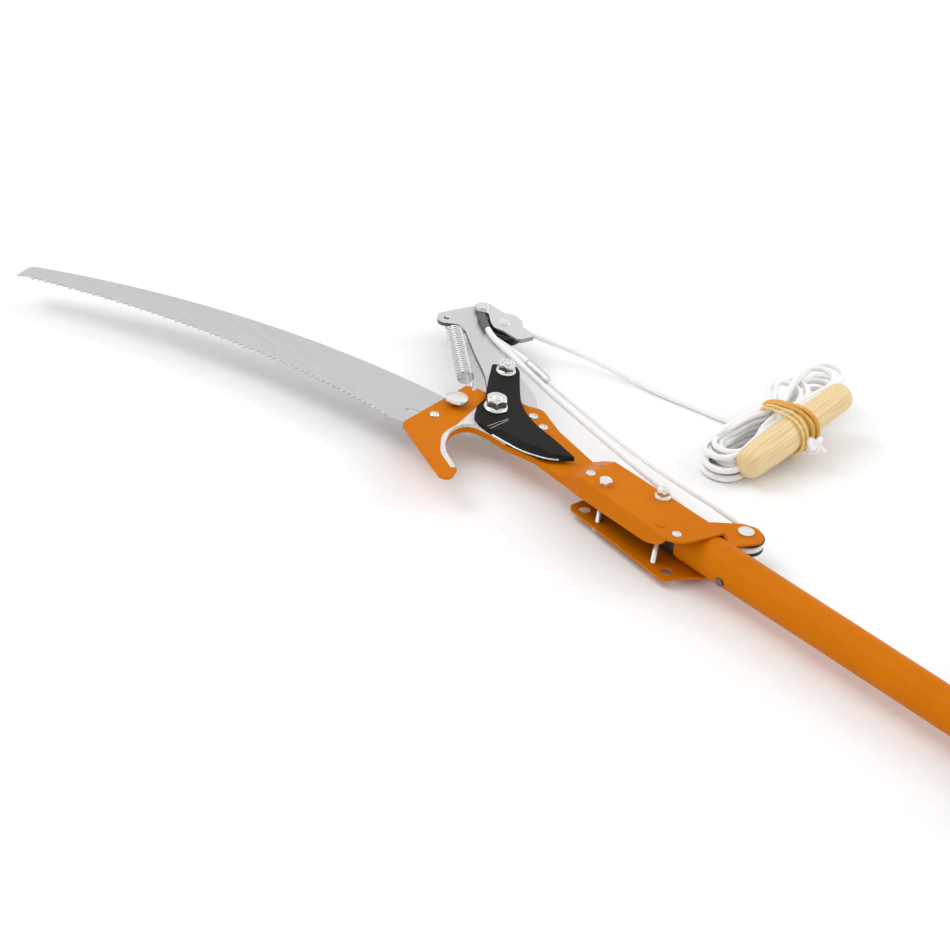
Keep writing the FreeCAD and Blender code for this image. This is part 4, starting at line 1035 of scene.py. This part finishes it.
FLOOR_FINISH = floor_finish()
ORANGE = orange_paint("orange_powder_coat")
SAW_STEEL = brushed("saw_steel", (0.62, 0.62, 0.63), 0.40, (0.05, 1.0, 1.0), scale=420)
# the lever's and the bracket's edge colours are painted shade on their upright side faces
LEVER_STEEL = brushed("lever_steel", (0.69, 0.69, 0.69), 0.36, (1.0, 0.5, 1.0), scale=90, contrast=0.06,
                      edge=(0.13, 0.13, 0.13))
BRACKET_STEEL = brushed("bracket_steel", (0.74, 0.74, 0.74), 0.30, (1.0, 0.3, 1.0), scale=150, contrast=0.07,
                        edge=(0.30, 0.30, 0.30))
SLEEVE_STEEL = brushed("sleeve_steel", (0.70, 0.70, 0.70), 0.48, (1.0, 0.3, 1.0), scale=300, contrast=0.25)
ZINC = zinc("bright_zinc")
COATED = coated_blade("non_stick_coat")
INSERT = blasted_steel("blasted_insert")
BLACK_PLASTIC = plastic("black_plastic", (0.012, 0.012, 0.012), (0.030, 0.030, 0.030), 0.42)
PULLEY_PLASTIC = plastic("pulley_plastic", (0.010, 0.010, 0.011), (0.030, 0.030, 0.032), 0.30)
FOAM = rubber_finish("grip_rubber", (0.012, 0.012, 0.012), (0.028, 0.028, 0.028), 0.72)
SPRING_STEEL = brushed("spring_steel", (0.74, 0.74, 0.74), 0.26, (1.0, 1.0, 1.0), scale=300, contrast=0.12)
ROPE = braided_rope("braided_rope")
WOOD = turned_wood("turned_wood")
BAND = rubber_finish("band_rubber", (0.64, 0.30, 0.035), (0.78, 0.44, 0.10), 0.42)
PALE_BAND = rubber_finish("band_rubber_stretched", (0.78, 0.52, 0.13), (0.88, 0.68, 0.28), 0.42)
DARK_STEEL = brushed("oxidised_steel_and_shade", (0.16, 0.16, 0.16), 0.34, (1.0, 0.4, 1.0), scale=200, contrast=0.25)


def dress(finish, *names):
    """Gives CAD nodes their finish."""
    for name in names:
        for material_slot in NODES[name].material_slots:
            material_slot.material = finish


def paint(piece, finish):
    piece.data.materials.clear()
    piece.data.materials.append(finish)


def soften(width, *names):
    """Rounds a CAD node's sharp edges a little, so that they catch the light."""
    for name in names:
        edge = NODES[name].modifiers.new("edge", "BEVEL")
        edge.width = width
        edge.segments = 2
        edge.limit_method = "ANGLE"
        edge.angle_limit = math.radians(40)


paint(saw_blade(), SAW_STEEL)
paint(bypass_blade(), COATED)
paint(blade_marks(), ZINC)
paint(return_spring(), SPRING_STEEL)
paint(TOGGLE, WOOD)
rubber_band()
paint(SLEEVE, SLEEVE_STEEL)
dress(ORANGE, "head_sheet", "seat_plate", "lower_clamp_plate", "upper_pole", "lower_pole")
dress(LEVER_STEEL, "lever_arm")
dress(BRACKET_STEEL, "pulley_bracket")
# dark steel is real oxide on rope_clip; on snap_button it is painted shade for the shadow in its hole
dress(DARK_STEEL, "rope_clip", "snap_button")
dress(ZINC, "saw_bolt", "saw_bolt_nut", "seat_rivet", "sheet_rivets", "arm_spacer", "arm_bolt", "arm_nut",
      "pivot_bolt", "pivot_washer", "pivot_nut", "upper_axle", "lever_rivet", "rivet_spacer", "lower_axle",
      "clamp_bolts", "clamp_nuts")
dress(INSERT, "counter_blade")
dress(BLACK_PLASTIC, "tube_adapter", "guide_bush", "lock_collet", "lock_sleeve", "lock_collar", "end_cap")
dress(PULLEY_PLASTIC, "upper_pulley", "lower_pulley")
dress(FOAM, "pole_grip")
dress(SPRING_STEEL, "button_spring")
for piece in ROPES:
    paint(piece, ROPE)
soften(0.0003, "head_sheet", "lower_clamp_plate", "pulley_bracket", "lever_arm", "seat_plate")
for piece in hardware():
    paint(piece, ZINC)

studio()
